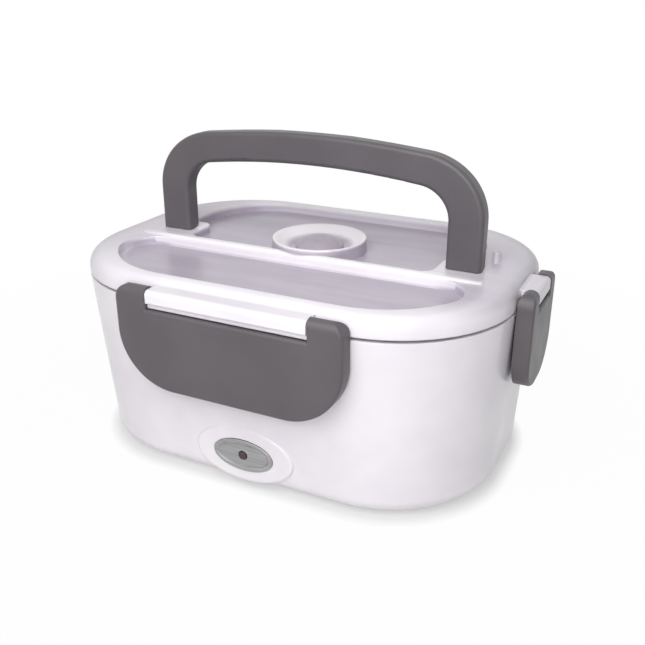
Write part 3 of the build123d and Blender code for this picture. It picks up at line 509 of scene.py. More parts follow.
    def tint(self, surface: Surface) -> Socket:
        """White rim, painted highlights on the raised parts, and painted lavender-grey shade in the
        pans with long faint painted reflection streaks.

        Args:
            surface: the material being built.

        Returns:
            The colour.
        """
        # Painted highlight on the ridge and the vent's ring.
        rim = surface.blend(self.on_highlight(surface), super().tint(surface), self.highlight_colour)
        # Painted reflection streaks laid over the painted shade of the pans.
        streaks = surface.blotches(self.streak_mm, 2.0, self.streak_stretch)
        pan = surface.blend(
            surface.spread(streaks, 0.36, 0.64), self.pan_shade_colour, self.pan_reflection_colour)
        # Painted shade on the pans, the lid's ends and the vent dish's outer wall.
        painted_shade = surface.combined(
            "MAXIMUM", self.painted_shade_on_pans(surface), self.painted_shade_on_ends(surface), self.painted_shade_on_vent_wall(surface))
        return surface.blend(painted_shade, rim, pan)


class Brushing(Enum):
    """Which way the fine lines of a metal surface run: pattern scale along X, Y and Z."""

    ALONG_X = (0.02, 1.0, 1.0)
    AROUND = (0.04, 0.04, 1.0)
    ALONG_Z = (1.0, 1.0, 0.03)
    NONE = (1.0, 1.0, 1.0)


@dataclass(frozen=True)
class WorkedMetal(Recipe):
    """Sheet or turned metal: one reflecting colour with the lines of its rolling or brushing."""

    colour: str
    line_colour: str
    roughness: float
    brushing: Brushing = Brushing.ALONG_X
    # Brushed lines are some 0.05 mm apart, too fine to show here, so they are drawn wider.
    line_mm: float = 0.9
    line_depth_mm: float = 0.006
    anisotropy: float = 0.0
    stain_mm: float = 18.0

    def lay(self, surface: Surface) -> None:
        """Give a bare surface the metal's lines and faint stains.

        Args:
            surface: the bare surface.
        """
        surface.fix(metallic=1.0, anisotropic=self.anisotropy)
        lines = surface.blotches(self.line_mm, 3.0, self.brushing.value)
        surface.feed("Base Color", surface.blend(
            surface.spread(lines, 0.3, 0.7), self.colour, self.line_colour))
        surface.feed("Roughness", surface.spread(
            surface.blotches(self.stain_mm), 0.35, 0.65,
            self.roughness - 0.05, self.roughness + 0.06))
        surface.feed("Normal", surface.relief(lines, self.line_depth_mm))


@dataclass(frozen=True)
class SoftRubber(Recipe):
    """Silicone or rubber: a dull skin, a little light inside it and fine dust."""

    colour: str
    dust_colour: str
    roughness: float = 0.6
    translucency: float = 0.0
    dust_mm: float = 6.0
    grain_mm: float = 0.8
    grain_depth_mm: float = 0.02

    def lay(self, surface: Surface) -> None:
        """Give a bare surface the rubber's dusty skin.

        Args:
            surface: the bare surface.
        """
        surface.fix(
            ior=1.41, subsurface_weight=self.translucency, subsurface_scale=1.5 * MM,
            sheen_weight=0.12, sheen_roughness=0.5)
        dust = surface.spread(surface.blotches(self.dust_mm, 4.0), 0.42, 0.72, 0.0, 0.6)
        surface.feed("Base Color", surface.blend(dust, self.colour, self.dust_colour))
        grain = surface.blotches(self.grain_mm, 3.0)
        surface.feed("Roughness", surface.spread(
            grain, 0.3, 0.7, self.roughness - 0.06, self.roughness + 0.08))
        surface.feed("Normal", surface.relief(grain, self.grain_depth_mm))


@dataclass(frozen=True)
class PressedMica(Recipe):
    """Mica board: flakes pressed flat, each with its own brown and shine."""

    colours: tuple[str, str] = ("#b9a27a", "#8c7550")
    flake_mm: float = 2.4
    flake_depth_mm: float = 0.04

    def lay(self, surface: Surface) -> None:
        """Give a bare surface its flakes.

        Args:
            surface: the bare surface.
        """
        flakes = surface.add("ShaderNodeTexVoronoi", inputs={
            "Vector": surface.place, "Scale": 1 / (self.flake_mm * MM)})
        tone = surface.add("ShaderNodeSeparateColor", inputs={0: flakes.outputs["Color"]})
        surface.feed("Base Color", surface.blend(tone.outputs[0], *self.colours))
        surface.feed("Roughness", surface.spread(tone.outputs[1], 0.0, 1.0, 0.3, 0.6))
        surface.feed("Normal", surface.relief(flakes.outputs["Distance"], self.flake_depth_mm))


@dataclass(frozen=True)
class CircuitLaminate(Recipe):
    """Glass-fibre board: woven threads under a green lacquer."""

    colour: str = "#1f6a3c"
    thread_colour: str = "#2c7d4a"
    # The wave texture repeats at about two of these, which is coarser than the real weave.
    thread_mm: float = 0.7
    thread_depth_mm: float = 0.02

    def lay(self, surface: Surface) -> None:
        """Give a bare surface its weave and lacquer.

        Args:
            surface: the bare surface.
        """
        surface.fix(ior=1.55, coat_weight=0.4, coat_roughness=0.1)
        threads = [surface.add("ShaderNodeTexWave", {"bands_direction": axis}, {
            "Vector": surface.place, "Scale": 1 / (2 * pi * self.thread_mm * MM)}).outputs["Fac"]
            for axis in ("X", "Z")]
        cloth = surface.combined("MULTIPLY", *threads)
        surface.feed("Base Color", surface.blend(cloth, self.colour, self.thread_colour))
        surface.feed("Roughness", surface.spread(surface.blotches(3.0), 0.3, 0.7, 0.3, 0.42))
        surface.feed("Normal", surface.relief(cloth, self.thread_depth_mm))


@dataclass(frozen=True)
class ClearPlastic(Recipe):
    """Clear dyed plastic: a polished lens that looks dark while it is unlit."""

    colour: str = "#4a1d22"
    haze_colour: str = "#2b1014"
    haze_mm: float = 1.2
    roughness: float = 0.12

    def lay(self, surface: Surface) -> None:
        """Give a bare surface its dye and polish.

        Args:
            surface: the bare surface.
        """
        surface.fix(ior=1.49, transmission_weight=0.35, coat_weight=0.5, coat_roughness=0.05)
        haze = surface.spread(surface.blotches(self.haze_mm), 0.3, 0.7)
        surface.feed("Base Color", surface.blend(haze, self.colour, self.haze_colour))
        surface.feed("Roughness", surface.spread(
            haze, 0.0, 1.0, self.roughness - 0.04, self.roughness + 0.06))


class Finish(Enum):
    """Every finish of the box, one for each material slot of the model."""

    # Polished ABS: white with a lilac breath and soft broad reflections.
    SHELL = MouldedPlastic(
        "abs_polished_white", "#f2eef2", "#ebe6ec", 0.33, ior=1.53, coat=0.3,
        grain_depth_mm=0.006)
    # Polypropylene lid: milky white rim, with painted lavender-grey shade in its sunken pans and
    # painted highlights on its raised parts.
    LID = SunkenLidPlastic(
        "polypropylene_milky_white", "#f1edf2", "#ebe6ed", 0.34, coat=0.15,
        grain_depth_mm=0.004, edge_mm=1.0)
    # Satin polypropylene: dark warm grey, its sheen broken by a fine spark-eroded grain.
    GREY = MouldedPlastic(
        "polypropylene_satin_grey", "#5b575b", "#555155", 0.42, grain_mm=0.9,
        grain_depth_mm=0.012)
    # Matt polypropylene: the light grey tub and base cover.
    TUB = MouldedPlastic(
        "polypropylene_light_grey", "#cfccd2", "#c6c3ca", 0.45, grain_depth_mm=0.02)
    # Brushed stainless steel: bright, with long fine lines round the tray.
    TRAY = WorkedMetal(
        "stainless_steel_brushed", "#cfcfd2", "#b6b7bb", 0.33, Brushing.AROUND,
        line_depth_mm=0.004, anisotropy=0.3)
    # Rolled aluminium: a paler, softer shine than the steel.
    PLATE = WorkedMetal("aluminium_rolled", "#d9dadc", "#c4c6c9", 0.36, line_mm=1.4)
    # Zinc-plated sheet: dull blue-grey with a cloudy spangle.
    PAN = WorkedMetal(
        "sheet_steel_zinc_plated", "#b3b6ba", "#9a9da3", 0.4, Brushing.NONE, line_mm=5.0)
    # Zinc-plated screws: pale grey, with a blurred shine.
    SCREW = WorkedMetal(
        "screw_steel_zinc_plated", "#a9abae", "#8f9195", 0.35, Brushing.NONE, line_mm=0.8)
    # Turned stainless steel: bright, with fine lines across the handle pins.
    PIN = WorkedMetal(
        "stainless_steel_turned", "#c2c3c6", "#a3a4a8", 0.2, Brushing.ALONG_Z, line_mm=0.5)
    # Anodised aluminium: nickel grey, with short level lines and a soft shine.
    BADGE = WorkedMetal(
        "aluminium_anodised_grey", "#b2b1b2", "#9b9a9c", 0.38, Brushing.ALONG_X,
        line_mm=0.8, line_depth_mm=0.01, anisotropy=0.4)
    # Dyed acrylic: a polished dark red drop, nearly black while it is unlit.
    LENS = ClearPlastic("acrylic_dark_red")
    # Pressed mica: brown flakes that glint one by one.
    MICA = PressedMica("mica_pressed")
    # Flame-resistant nylon: black, with a low even sheen.
    BLACK = MouldedPlastic(
        "nylon_moulded_black", "#1d1d1f", "#262629", 0.38, grain_depth_mm=0.02)
    # Nickel-plated brass: a warm, sharp shine deep in the inlet.
    BRASS = WorkedMetal(
        "brass_nickel_plated", "#d6bf86", "#b89d61", 0.2, Brushing.NONE, line_mm=0.7)
    # Glass-fibre laminate: green lacquer over a faint weave.
    BOARD = CircuitLaminate("glass_fibre_laminate")
    # Silicone sleeve of the wires: dull red with a soft skin.
    WIRE = SoftRubber("silicone_sleeve_red", "#a02a22", "#b04a3e", 0.5)
    # Steatite: the chalky cream ceramic of the fuse.
    FUSE = MouldedPlastic("steatite_ceramic", "#e3ddd0", "#d5cfc0", 0.35, grain_depth_mm=0.015)
    # Soft black rubber feet, a little dusty.
    FOOT = SoftRubber("rubber_black", "#222224", "#3a393b", 0.7)
    # Platinum-cured silicone seal: milky and soft.
    SEAL = SoftRubber("silicone_milky", "#c9cad0", "#dcdce0", 0.5, translucency=0.3)
    # Tinted silicone of the steam plug: lavender grey, dull and slightly milky.
    PLUG = SoftRubber("silicone_lavender_grey", "#aca4af", "#b9b2bc", 0.45, translucency=0.15)


class Palette:
    """Makes each material once and hands it out."""

    def __init__(self) -> None:
        """Start with nothing made."""
        self.made: dict[Finish, bpy.types.Material] = {}

    def get(self, finish: Finish) -> bpy.types.Material:
        """Hand out the material of a finish, made on first use.

        Args:
            finish: which finish.

        Returns:
            Its material.
        """
        if finish not in self.made:
            self.made[finish] = finish.value.build()
        return self.made[finish]


# ---- meshes --------------------------------------------------------------------------------


@dataclass
class Mesh:
    """Vertices in millimetres and faces, grown ring by ring."""

    points: list[Point] = field(default_factory=list)
    faces: list[tuple[int, ...]] = field(default_factory=list)

    def ring(self, points: Sequence[Point]) -> list[int]:
        """Add a ring of vertices.

        Args:
            points: the ring's vertices in order.

        Returns:
            Their numbers.
        """
        start = len(self.points)
        self.points.extend(points)
        return list(range(start, start + len(points)))

    def bridge(self, first: list[int], second: list[int]) -> None:
        """Join two rings of the same length with a band of quads.

        Args:
            first: vertex numbers of one ring.
            second: those of the other ring.
        """
        count = len(first)
        for i in range(count):
            j = (i + 1) % count
            self.faces.append((first[i], first[j], second[j], second[i]))

    def loft(self, rings: Sequence[Sequence[Point]], loop: bool = False,
             start_cap: bool = False, end_cap: bool = False) -> None:
        """Join a row of rings into one skin.

        Args:
            rings: the rings in order.
            loop: whether the last ring joins the first, as round a tube's own section.
            start_cap: whether a face closes the first ring.
            end_cap: whether a face closes the last ring.
        """
        numbers = [self.ring(points) for points in rings]
        for first, second in zip(numbers, numbers[1:]):
            self.bridge(first, second)
        if loop:
            self.bridge(numbers[-1], numbers[0])
        if start_cap:
            self.faces.append(tuple(reversed(numbers[0])))
        if end_cap:
            self.faces.append(tuple(numbers[-1]))

    def moved(self, matrix: Matrix) -> "Mesh":
        """Return a copy placed by a matrix in millimetres."""
        points = [tuple(matrix @ Vector(point)) for point in self.points]
        return Mesh(points, list(self.faces))

    def join(self, other: "Mesh") -> None:
        """Take in another mesh.

        Args:
            other: the mesh to add; it stays as it is.
        """
        start = len(self.points)
        self.points.extend(other.points)
        self.faces.extend(tuple(start + i for i in face) for face in other.faces)


def arc(centre: tuple[float, float], radius: float, start: float, end: float,
        steps: int = 5) -> list[tuple[float, float]]:
    """Points on an arc of a profile.

    Args:
        centre: centre of the arc.
        radius: its radius.
        start: first angle in degrees.
        end: last angle in degrees.
        steps: number of pieces.

    Returns:
        The points, both ends among them.
    """
    angles = [radians(start + (end - start) * i / steps) for i in range(steps + 1)]
    return [(centre[0] + radius * cos(a), centre[1] + radius * sin(a)) for a in angles]


def rounded_ring(length: float, width: float, corner: float, height: float,
                 steps: int = 14) -> list[Point]:
    """Ring round a rounded rectangle seen from above.

    Args:
        length: size along X.
        width: size along Y.
        corner: corner radius.
        height: level of the ring.
        steps: pieces in each corner.

    Returns:
        The ring's points, anticlockwise.
    """
    ring: list[Point] = []
    for quarter, (sx, sy) in enumerate(((1, 1), (-1, 1), (-1, -1), (1, -1))):
        middle = (sx * (length / 2 - corner), sy * (width / 2 - corner))
        ring += [(x, y, height) for x, y in arc(
            middle, corner, 90 * quarter, 90 * quarter + 90, steps)]
    return ring


def lathe(profile: Sequence[tuple[float, float]], steps: int = 48,
          stretch: tuple[float, float] = (1.0, 1.0)) -> Mesh:
    """Turned form about Z: a profile of radius and height swept round.

    Args:
        profile: radius and height, from the first end to the last.
        steps: pieces round the axis.
        stretch: scale along X and Y, for an oval form.

    Returns:
        The mesh, closed where the profile ends away from the axis.
    """
    mesh = Mesh()
    rings = [[(r * stretch[0] * cos(2 * pi * i / steps), r * stretch[1] * sin(2 * pi * i / steps), h)
              for i in range(steps)] for r, h in profile]
    mesh.loft(rings, start_cap=True, end_cap=True)
    return mesh


def put_in_scene(name: str, data: bpy.types.ID) -> bpy.types.Object:
    """Make an object and link it into the scene.

    Args:
        name: name of the object.
        data: its mesh, lamp or camera.

    Returns:
        The new object.
    """
    thing = bpy.data.objects.new(name, data)
    bpy.context.scene.collection.objects.link(thing)
    return thing


def make_piece(name: str, mesh: Mesh, material: bpy.types.Material, body: str,
               replaces: Sequence[str] = (), sharp: float = 38.0) -> bpy.types.Object:
    """Turn a mesh into a piece that rides on a body.

    Args:
        name: name of the piece.
        mesh: its form in millimetres.
        material: its finish.
        body: body of the model that it moves with.
        replaces: nodes of the model that it stands for.
        sharp: edges that turn by more than this many degrees stay sharp.

    Returns:
        The new object.
    """
    data = bpy.data.meshes.new(name)
    data.from_pydata([[c * MM for c in point] for point in mesh.points], [], mesh.faces)
    data.validate()
    data.shade_smooth()
    data.set_sharp_from_angle(angle=radians(sharp))
    data.materials.append(material)
    piece = put_in_scene(name, data)
    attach(piece, body)
    if replaces:
        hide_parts(*replaces)
    log.info("piece %s: %d faces, rides on %s", name, len(data.polygons), body)
    return piece


def middle_of(node: str) -> Point:
    """Middle of a node's box, in millimetres."""
    low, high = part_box(node)
    return tuple((a + b) / 2 / MM for a, b in zip(low, high))


def portion(value: float, start: float, end: float) -> float:
    """How far a value has come from a start to an end, held between none and one."""
    return min(max((value - start) / (end - start), 0.0), 1.0)


@dataclass(frozen=True)
class BodyForm:
    """Outline of the box: a rounded rectangle that draws in towards the table."""

    length: float
    width: float
    seam: float
    bottom: float
    corner: float = 63.5
    lower_corner: float = 61.0
    end_taper: float = 4.3
    front_taper: float = 8.0
    least_corner: float = 0.5

    @classmethod
    def of_model(cls) -> "BodyForm":
        """Read the outline from the tub's flange, which sits just inside the rim.

        Returns:
            The outline of this box.
        """
        rim_step = 1.3
        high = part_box("inner_tub")[1]
        return cls(
            2 * (high[0] / MM + rim_step), 2 * (high[1] / MM + rim_step), high[2] / MM,
            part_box("outer_shell")[0][2] / MM)

    def ring(self, inset: float, height: float, steps: int = 14) -> list[Point]:
        """Ring drawn in from the outline at a height; above the seam the outline is upright.

        Args:
            inset: how far it is drawn in.
            height: level of the ring.
            steps: pieces in each corner.

        Returns:
            The ring's points.
        """
        share = max(0.0, (self.seam - height) / (self.seam - self.bottom))
        corner = self.corner + (self.lower_corner - self.corner) * share - inset
        return rounded_ring(
            self.length - 2 * self.end_taper * share - 2 * inset,
            self.width - 2 * self.front_taper * share - 2 * inset,
            max(corner, self.least_corner), height, steps)


# ---- sub-assemblies ------------------------------------------------------------------------


@dataclass
class SubAssembly:
    """A group of pieces that is made and dressed together."""

    palette: Palette
    form: BodyForm

    def dress(self, finish: Finish, *nodes: str) -> None:
        """Give nodes of the model a finish.

        Args:
            finish: the finish.
            nodes: names of the nodes.
        """
        for node in nodes:
            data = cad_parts[node].data
            data.materials.clear()
            data.materials.append(self.palette.get(finish))
            log.info("node %s: %s", node, finish.value.name)

    def build(self) -> None:
        """Make and dress everything; each sub-assembly has its own."""
        raise NotImplementedError


@dataclass
class OuterBody(SubAssembly):
    """Shell, tub, base cover, screws and feet."""

    foot_radius: float = 7.0
    foot_height: float = 1.8
    foot_edge: float = 0.5
    groove: float = 0.35
    groove_slope: float = 0.1
    groove_rings: tuple[float, ...] = (2.2, 3.6, 5.0)
    bore: float = 0.3
    dimple: float = 1.4
    dimple_depth: float = 0.15

    def feet(self) -> None:
        """Four turned feet with fine grip rings underneath."""
        profile = [(self.bore, self.dimple_depth), (self.dimple, self.dimple_depth)]
        for radius in self.groove_rings:
            profile += [(radius - self.groove, 0.0), (radius, 0.0),
                        (radius + self.groove_slope, self.groove),
                        (radius + 2 * self.groove, self.groove)]
        profile += [(self.foot_radius - 2 * self.foot_edge, 0.0)]
        profile += arc((self.foot_radius - self.foot_edge, self.foot_edge), self.foot_edge, -90, 0)
        profile += [(self.foot_radius, self.foot_height), (self.bore, self.foot_height)]
        turned = lathe(profile)
        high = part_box("rubber_feet")[1]
        x, y = (corner / MM - self.foot_radius for corner in high[:2])
        mesh = Mesh()
        for sx in (-1, 1):
            for sy in (-1, 1):
                mesh.join(turned.moved(Matrix.Translation((sx * x, sy * y, 0.0))))
        make_piece("rubber_feet_grooved", mesh, self.palette.get(Finish.FOOT), "body",
                   ["rubber_feet"])

    def build(self) -> None:
        """Dress the body and make its feet."""
        self.dress(Finish.SHELL, "outer_shell")
        self.dress(Finish.TUB, "inner_tub", "base_cover")
        self.dress(Finish.SCREW, "base_screws")
        self.dress(Finish.FOOT, "rubber_feet")
        self.feet()


@dataclass
class Heater(SubAssembly):
    """Heating plate and the sealed parts under it."""

    def build(self) -> None:
        """Dress the heater and its wiring."""
        self.dress(Finish.PLATE, "heating_plate", "ptc_heaters")
        self.dress(Finish.MICA, "mica_insulator")
        self.dress(Finish.PAN, "heater_pan")
        self.dress(Finish.SCREW, "pan_screws")
        self.dress(Finish.BLACK, "thermostat")
        self.dress(Finish.FUSE, "thermal_fuse")
        self.dress(Finish.WIRE, "wiring_harness")


@dataclass
class PowerInlet(SubAssembly):
    """Figure-8 inlet in the rear wall."""

    def build(self) -> None:
        """Dress the inlet and its contacts."""
        self.dress(Finish.BLACK, "power_inlet")
        self.dress(Finish.BRASS, "inlet_contacts")


@dataclass
class Badge(SubAssembly):
    """Bare oval badge with the indicator lens in its middle."""

    steps: int = 72
    edge: float = 0.35              # rounding of the outer edge
    rim: float = 1.8
    rim_round: float = 0.3
    rim_drop: float = 0.1
    rim_slope: float = 0.25
    field_sink: float = 0.35
    groove_share: float = 0.72
    groove_width: float = 0.35
    groove_depth: float = 0.15
    groove_slope: float = 0.1
    collar: float = 3.9             # outer radius of the collar round the lens
    collar_foot: float = 0.5
    collar_foot_round: float = 0.96
    collar_foot_rise: float = 0.12
    collar_slope: float = 0.3
    collar_sink: float = 0.02
    bore: float = 2.45              # radius of the hole for the lens
    bore_lip: float = 0.3
    bore_lip_drop: float = 0.25
    bore_draft: float = 0.01

    def plate(self) -> None:
        """Oval plate: a rounded rim, a sunk field with one fine groove, and a collar."""
        low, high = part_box("badge_plate")
        half_length = (high[0] - low[0]) / 2 / MM
        half_height = (high[2] - low[2]) / 2 / MM
        depth = (high[1] - low[1]) / MM

        def oval(inset: float, height: float, round_share: float = 0.0) -> list[Point]:
            """Ring of the badge.

            Args:
                inset: how far it is drawn in from the outer edge.
                height: level above the back of the badge.
                round_share: none for the oval of the badge, one for a circle.

            Returns:
                The ring's points.
            """
            a, b = half_length - inset, half_height - inset
            a += (b - a) * round_share
            turns = [2 * pi * i / self.steps for i in range(self.steps)]
            return [(a * cos(t), b * sin(t), height) for t in turns]

        rings = [oval(0.0, 0.0), oval(0.0, depth - self.edge)]
        rings += [oval(self.edge - x, depth - self.edge + z)
                  for x, z in arc((0, 0), self.edge, 0, 90)]
        field_level = depth - self.field_sink
        rings += [oval(self.rim - self.rim_round, depth), oval(self.rim, depth - self.rim_drop),
                  oval(self.rim + self.rim_slope, field_level)]
        groove = half_height * (1 - self.groove_share)
        bed = field_level - self.groove_depth
        rings += [oval(groove, field_level), oval(groove + self.groove_slope, bed),
                  oval(groove + self.groove_width, bed),
                  oval(groove + self.groove_width + self.groove_slope, field_level)]
        collar = half_height - self.collar
        crest = depth - self.collar_sink
        hole = half_height - self.bore
        rings += [oval(collar - self.collar_foot, field_level, self.collar_foot_round),
                  oval(collar, field_level + self.collar_foot_rise, 1.0),
                  oval(collar + self.collar_slope, crest, 1.0),
                  oval(hole - self.bore_lip, crest, 1.0),
                  oval(hole - self.bore_draft, depth - self.bore_lip_drop, 1.0),
                  oval(hole, 0.0, 1.0)]
        mesh = Mesh()
        mesh.loft(rings, loop=True)
        place = Matrix.Translation((0.0, high[1] / MM, middle_of("badge_plate")[2]))
        mesh = mesh.moved(place @ Matrix.Rotation(radians(90), 4, "X"))
        make_piece("badge_oval", mesh, self.palette.get(Finish.BADGE), "body",
                   ["badge_plate"], sharp=50)

    def build(self) -> None:
        """Make the badge and dress what is behind it."""
        self.dress(Finish.BADGE, "badge_plate")
        self.dress(Finish.LENS, "indicator_lens")
        self.dress(Finish.BOARD, "indicator_board")
        self.plate()


@dataclass
class FoodTray(SubAssembly):
    """Pressed steel tray that lifts out of the tub."""

    sheet: float = 0.8
    wall_inset: float = 12.0
    wall_draft: float = 3.0
    flange_inset: float = 4.6
    floor_round: float = 9.0
    flange_round: float = 2.2
    step_inset: float = 27.0
    step_slope: float = 1.2         # the step in the floor rises over this much
    step_height: float = 0.5
    turn_shift: float = 0.1         # the turn lies this much further in than the wall's top
    flat_end: float = 0.3           # end of the flange's flat underside, in from its edge

    def floor_step(self, inset: float, level: float) -> list[tuple[float, float]]:
        """Part of the sheet's profile where the floor steps up.

        Args:
            inset: inset of the wall's foot.
            level: level of this side of the sheet at the wall.

        Returns:
            Inset and level of the profile's points, from the wall inwards.
        """
        start = inset + self.step_inset - 2 * self.step_slope
        raised = level + self.step_height
        return [(start, level), (start + self.step_slope, raised),
                (start + 2 * self.step_slope, raised)]

    def build(self) -> None:
        """Make the tray as one pressed sheet, with its floor stepped up and its rim rolled."""
        low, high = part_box("food_tray")
        bottom, rim = low[2] / MM, high[2] / MM
        foot = self.wall_inset + self.wall_draft
        turn = self.flange_round
        turn_inset = self.wall_inset - turn + self.turn_shift
        round_inset = foot + self.floor_round
        outer = self.floor_step(foot, bottom)[::-1]
        outer += arc((round_inset, bottom + self.floor_round), self.floor_round, 270, 180, 7)
        outer += arc((turn_inset, rim - self.sheet - turn), turn, 0, 90, 5)
        outer += [(self.flange_inset + self.flat_end, rim - self.sheet)]
        half = self.sheet / 2
        edge = arc((self.flange_inset + half, rim - half), half, 270, 90, 5)
        inner_turn = turn + self.sheet
        inner = arc((turn_inset, rim - inner_turn), inner_turn, 90, 0, 6)
        inner_round = self.floor_round - self.sheet
        inner += arc((round_inset, bottom + self.sheet + inner_round), inner_round, 180, 270, 7)
        inner += self.floor_step(foot, bottom + self.sheet)
        mesh = Mesh()
        rings = [self.form.ring(inset, height, 16) for inset, height in outer + edge + inner]
        mesh.loft(rings, start_cap=True, end_cap=True)
        make_piece("food_tray_pressed", mesh, self.palette.get(Finish.TRAY), "tray",
                   ["food_tray"], sharp=60)


@dataclass
class Lid(SubAssembly):
    """Lid, its seal, the steam plug and the stops behind the handle feet."""

    stop_places: tuple[tuple[float, float], ...] = ((-97.0, 18.0), (97.0, 18.0))
    stop_level: float = 107.3       # just under the surface of the lid
    stop_radius: float = 2.8
    stop_height: float = 6.0
    stop_flare: float = 0.6
    stop_foot: float = 0.25
    stop_draft: float = 0.2
    stop_round: float = 1.1
    stop_tip: float = 0.2           # radius at which the profile ends on top
    stop_stretch: tuple[float, float] = (0.8, 1.2)

    def seal(self) -> None:
        """Silicone seal with two soft lips and a stem."""
        low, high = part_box("lid_gasket")
        bottom, top = low[2] / MM, high[2] / MM
        outside = self.form.length / 2 - high[0] / MM
        stem = top - bottom
        # Inset from the seal's outside and height above its bottom: lips, stem, outer flank.
        section = [
            (0.2, 0.5), (0.7, 0.0), (1.5, 0.1), (2.4, 0.8), (3.2, 0.8), (4.2, 0.0), (5.1, 0.1),
            (5.4, 0.7), (4.9, 1.3), (3.4, 2.2), (2.4, 2.9), (2.4, stem), (0.6, stem),
            (0.6, 2.8), (0.1, 1.9)]
        mesh = Mesh()
        mesh.loft([self.form.ring(outside + x, bottom + z) for x, z in section], loop=True)
        make_piece("lid_seal_moulded", mesh, self.palette.get(Finish.SEAL), "lid",
                   ["lid_gasket"], sharp=70)

    def stops(self) -> None:
        """Two small upright stops behind the handle feet; the folded handle lies between them."""
        level, radius = self.stop_level, self.stop_radius
        top = level + self.stop_height
        profile = [(radius + self.stop_flare, level - self.stop_flare),
                   (radius + self.stop_foot, level), (radius, level + 2 * self.stop_foot),
                   (radius - self.stop_draft, top - self.stop_round - 0.1)]
        profile += arc((radius - self.stop_draft - self.stop_round, top - self.stop_round),
                       self.stop_round, 0, 90)
        profile += [(self.stop_tip, top)]
        turned = lathe(profile, 32, self.stop_stretch)
        mesh = Mesh()
        for x, y in self.stop_places:
            mesh.join(turned.moved(Matrix.Translation((x, y, 0.0))))
        make_piece("handle_stops", mesh, self.palette.get(Finish.LID), "lid")

    def build(self) -> None:
        """Dress the lid and make its seal and stops."""
        self.dress(Finish.LID, "lid_shell")
        self.dress(Finish.SEAL, "lid_gasket")
        self.dress(Finish.PLUG, "vent_plug")
        self.seal()
        self.stops()


@dataclass
class Handle(SubAssembly):
    """Carrying handle and its two pins."""

    straight: float = 132.0         # the legs stay as they are up to this level
    draw_in: float = 1.3            # how far each leg leans in, at the top
    bar: float = 16.5               # height of the bar
    slimming: float = 0.7           # the bar is slimmer by this at its shoulders
    droop: float = 1.3              # and lower by this
    droop_start: float = 22.0       # from this far out from the middle
    under_share: float = 0.45       # share of the droop that the bar's underside takes

    def drawn(self, point: Vector, crown: float, reach: float) -> Point:
        """Place of one point of the drawn-in handle.

        Args:
            point: the point on the model's handle, in millimetres.
            crown: highest level of the handle.
            reach: half its length.

        Returns:
            The point, drawn in and lowered towards the shoulders.
        """
        up = portion(point.z, self.straight, crown)
        up = up * up * (3 - 2 * up)
        side = portion(abs(point.x), self.droop_start, reach)
        upper = portion(point.z, crown - self.bar, crown)
        droop = self.droop * (self.under_share + (1 - self.under_share) * upper)
        drop = up * side * (droop + self.slimming * upper)
        return (point.x * (1 - self.draw_in * up / reach), point.y, point.z - drop)

    def arch(self) -> None:
        """Handle whose legs lean in a little and whose shoulders fall away from the crown."""
        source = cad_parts["handle"].data
        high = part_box("handle")[1]
        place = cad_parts["handle"].matrix_world
        mesh = Mesh(
            [self.drawn(place @ v.co / MM, high[2] / MM, high[0] / MM) for v in source.vertices],
            [tuple(face.vertices) for face in source.polygons])
        make_piece("handle_arched", mesh, self.palette.get(Finish.GREY), "handle",
                   ["handle"], sharp=32)

    def build(self) -> None:
        """Dress the pins and make the handle."""
        self.dress(Finish.GREY, "handle")
        self.dress(Finish.PIN, "handle_pins")
        self.arch()


class ClipSide(Enum):
    """The four clips: turn about Z in degrees, body that each one moves with, and node."""

    FRONT = (0, "front_clip", "clip_front")
    RIGHT = (90, "right_clip", "clip_right")
    REAR = (180, "rear_clip", "clip_rear")
    LEFT = (270, "left_clip", "clip_left")

    def __init__(self, turn: float, body: str, node: str) -> None:
        """Name what each side holds.

        Args:
            turn: turn about Z from the front, in degrees.
            body: body of the model that the clip is.
            node: node of the model that holds its shape.
        """
        self.turn = turn
        self.body = body
        self.node = node


@dataclass
class Clips(SubAssembly):
    """Four clips with stiffening ribs in their open backs."""

    plate: float = 2.4
    margin: float = 7.0
    rib_pitch: float = 13.0
    rib_width: float = 1.2
    rib_depth: float = 1.8
    rib_root: float = 0.25          # half a rib is wider by this at its root
    rib_tip: float = 0.15           # and slimmer by this at its tip
    rib_sink: float = 0.1
    rib_bottom: float = 4.0
    rib_top: float = 26.0
    run_out: float = 2.0            # a rib dies away over this much at both ends
    run_out_share: float = 0.15
    slope_reach: float = 30.0       # ribs this near the clip's end start higher up
    slope: float = 0.5

    def build(self) -> None:
        """Dress each clip and make its ribs."""
        for side in ClipSide:
            self.dress(Finish.GREY, side.node)
            self.ribs(side)

    def ribs(self, side: ClipSide) -> None:
        """Ribs inside one clip, each tapered towards its free edge.

        Args:
            side: which clip.
        """
        low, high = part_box(side.node)
        back = Matrix.Rotation(-radians(side.turn), 3, "Z")
        corners = [back @ Vector(c) / MM for c in (low, high)]
        half = abs(corners[0].x - corners[1].x) / 2
        root = min(corners[0].y, corners[1].y) + self.plate - self.rib_sink
        bottom, top = low[2] / MM, high[2] / MM
        wide = self.rib_width / 2 + self.rib_root
        slim = self.rib_width / 2 - self.rib_tip
        count = int((half - self.margin) // self.rib_pitch)
        mesh = Mesh()
        for i in range(-count, count + 1):
            x = i * self.rib_pitch
            rise = max(0.0, abs(x) - half + self.slope_reach) * self.slope
            start, end = bottom + self.rib_bottom + rise, top - self.rib_top
            rings = []
            for level, share in ((start, self.run_out_share), (start + self.run_out, 1.0),
                                 (end - self.run_out, 1.0), (end, self.run_out_share)):
                tip = root + self.rib_depth * share
                rings.append([(x - wide, root, level), (x - slim, tip, level),
                              (x + slim, tip, level), (x + wide, root, level)])
            mesh.loft(rings, start_cap=True, end_cap=True)
        mesh = mesh.moved(Matrix.Rotation(radians(side.turn), 4, "Z"))
        make_piece(f"{side.node}_ribs", mesh, self.palette.get(Finish.GREY), side.body,
                   sharp=30)


# ---- studio --------------------------------------------------------------------------------


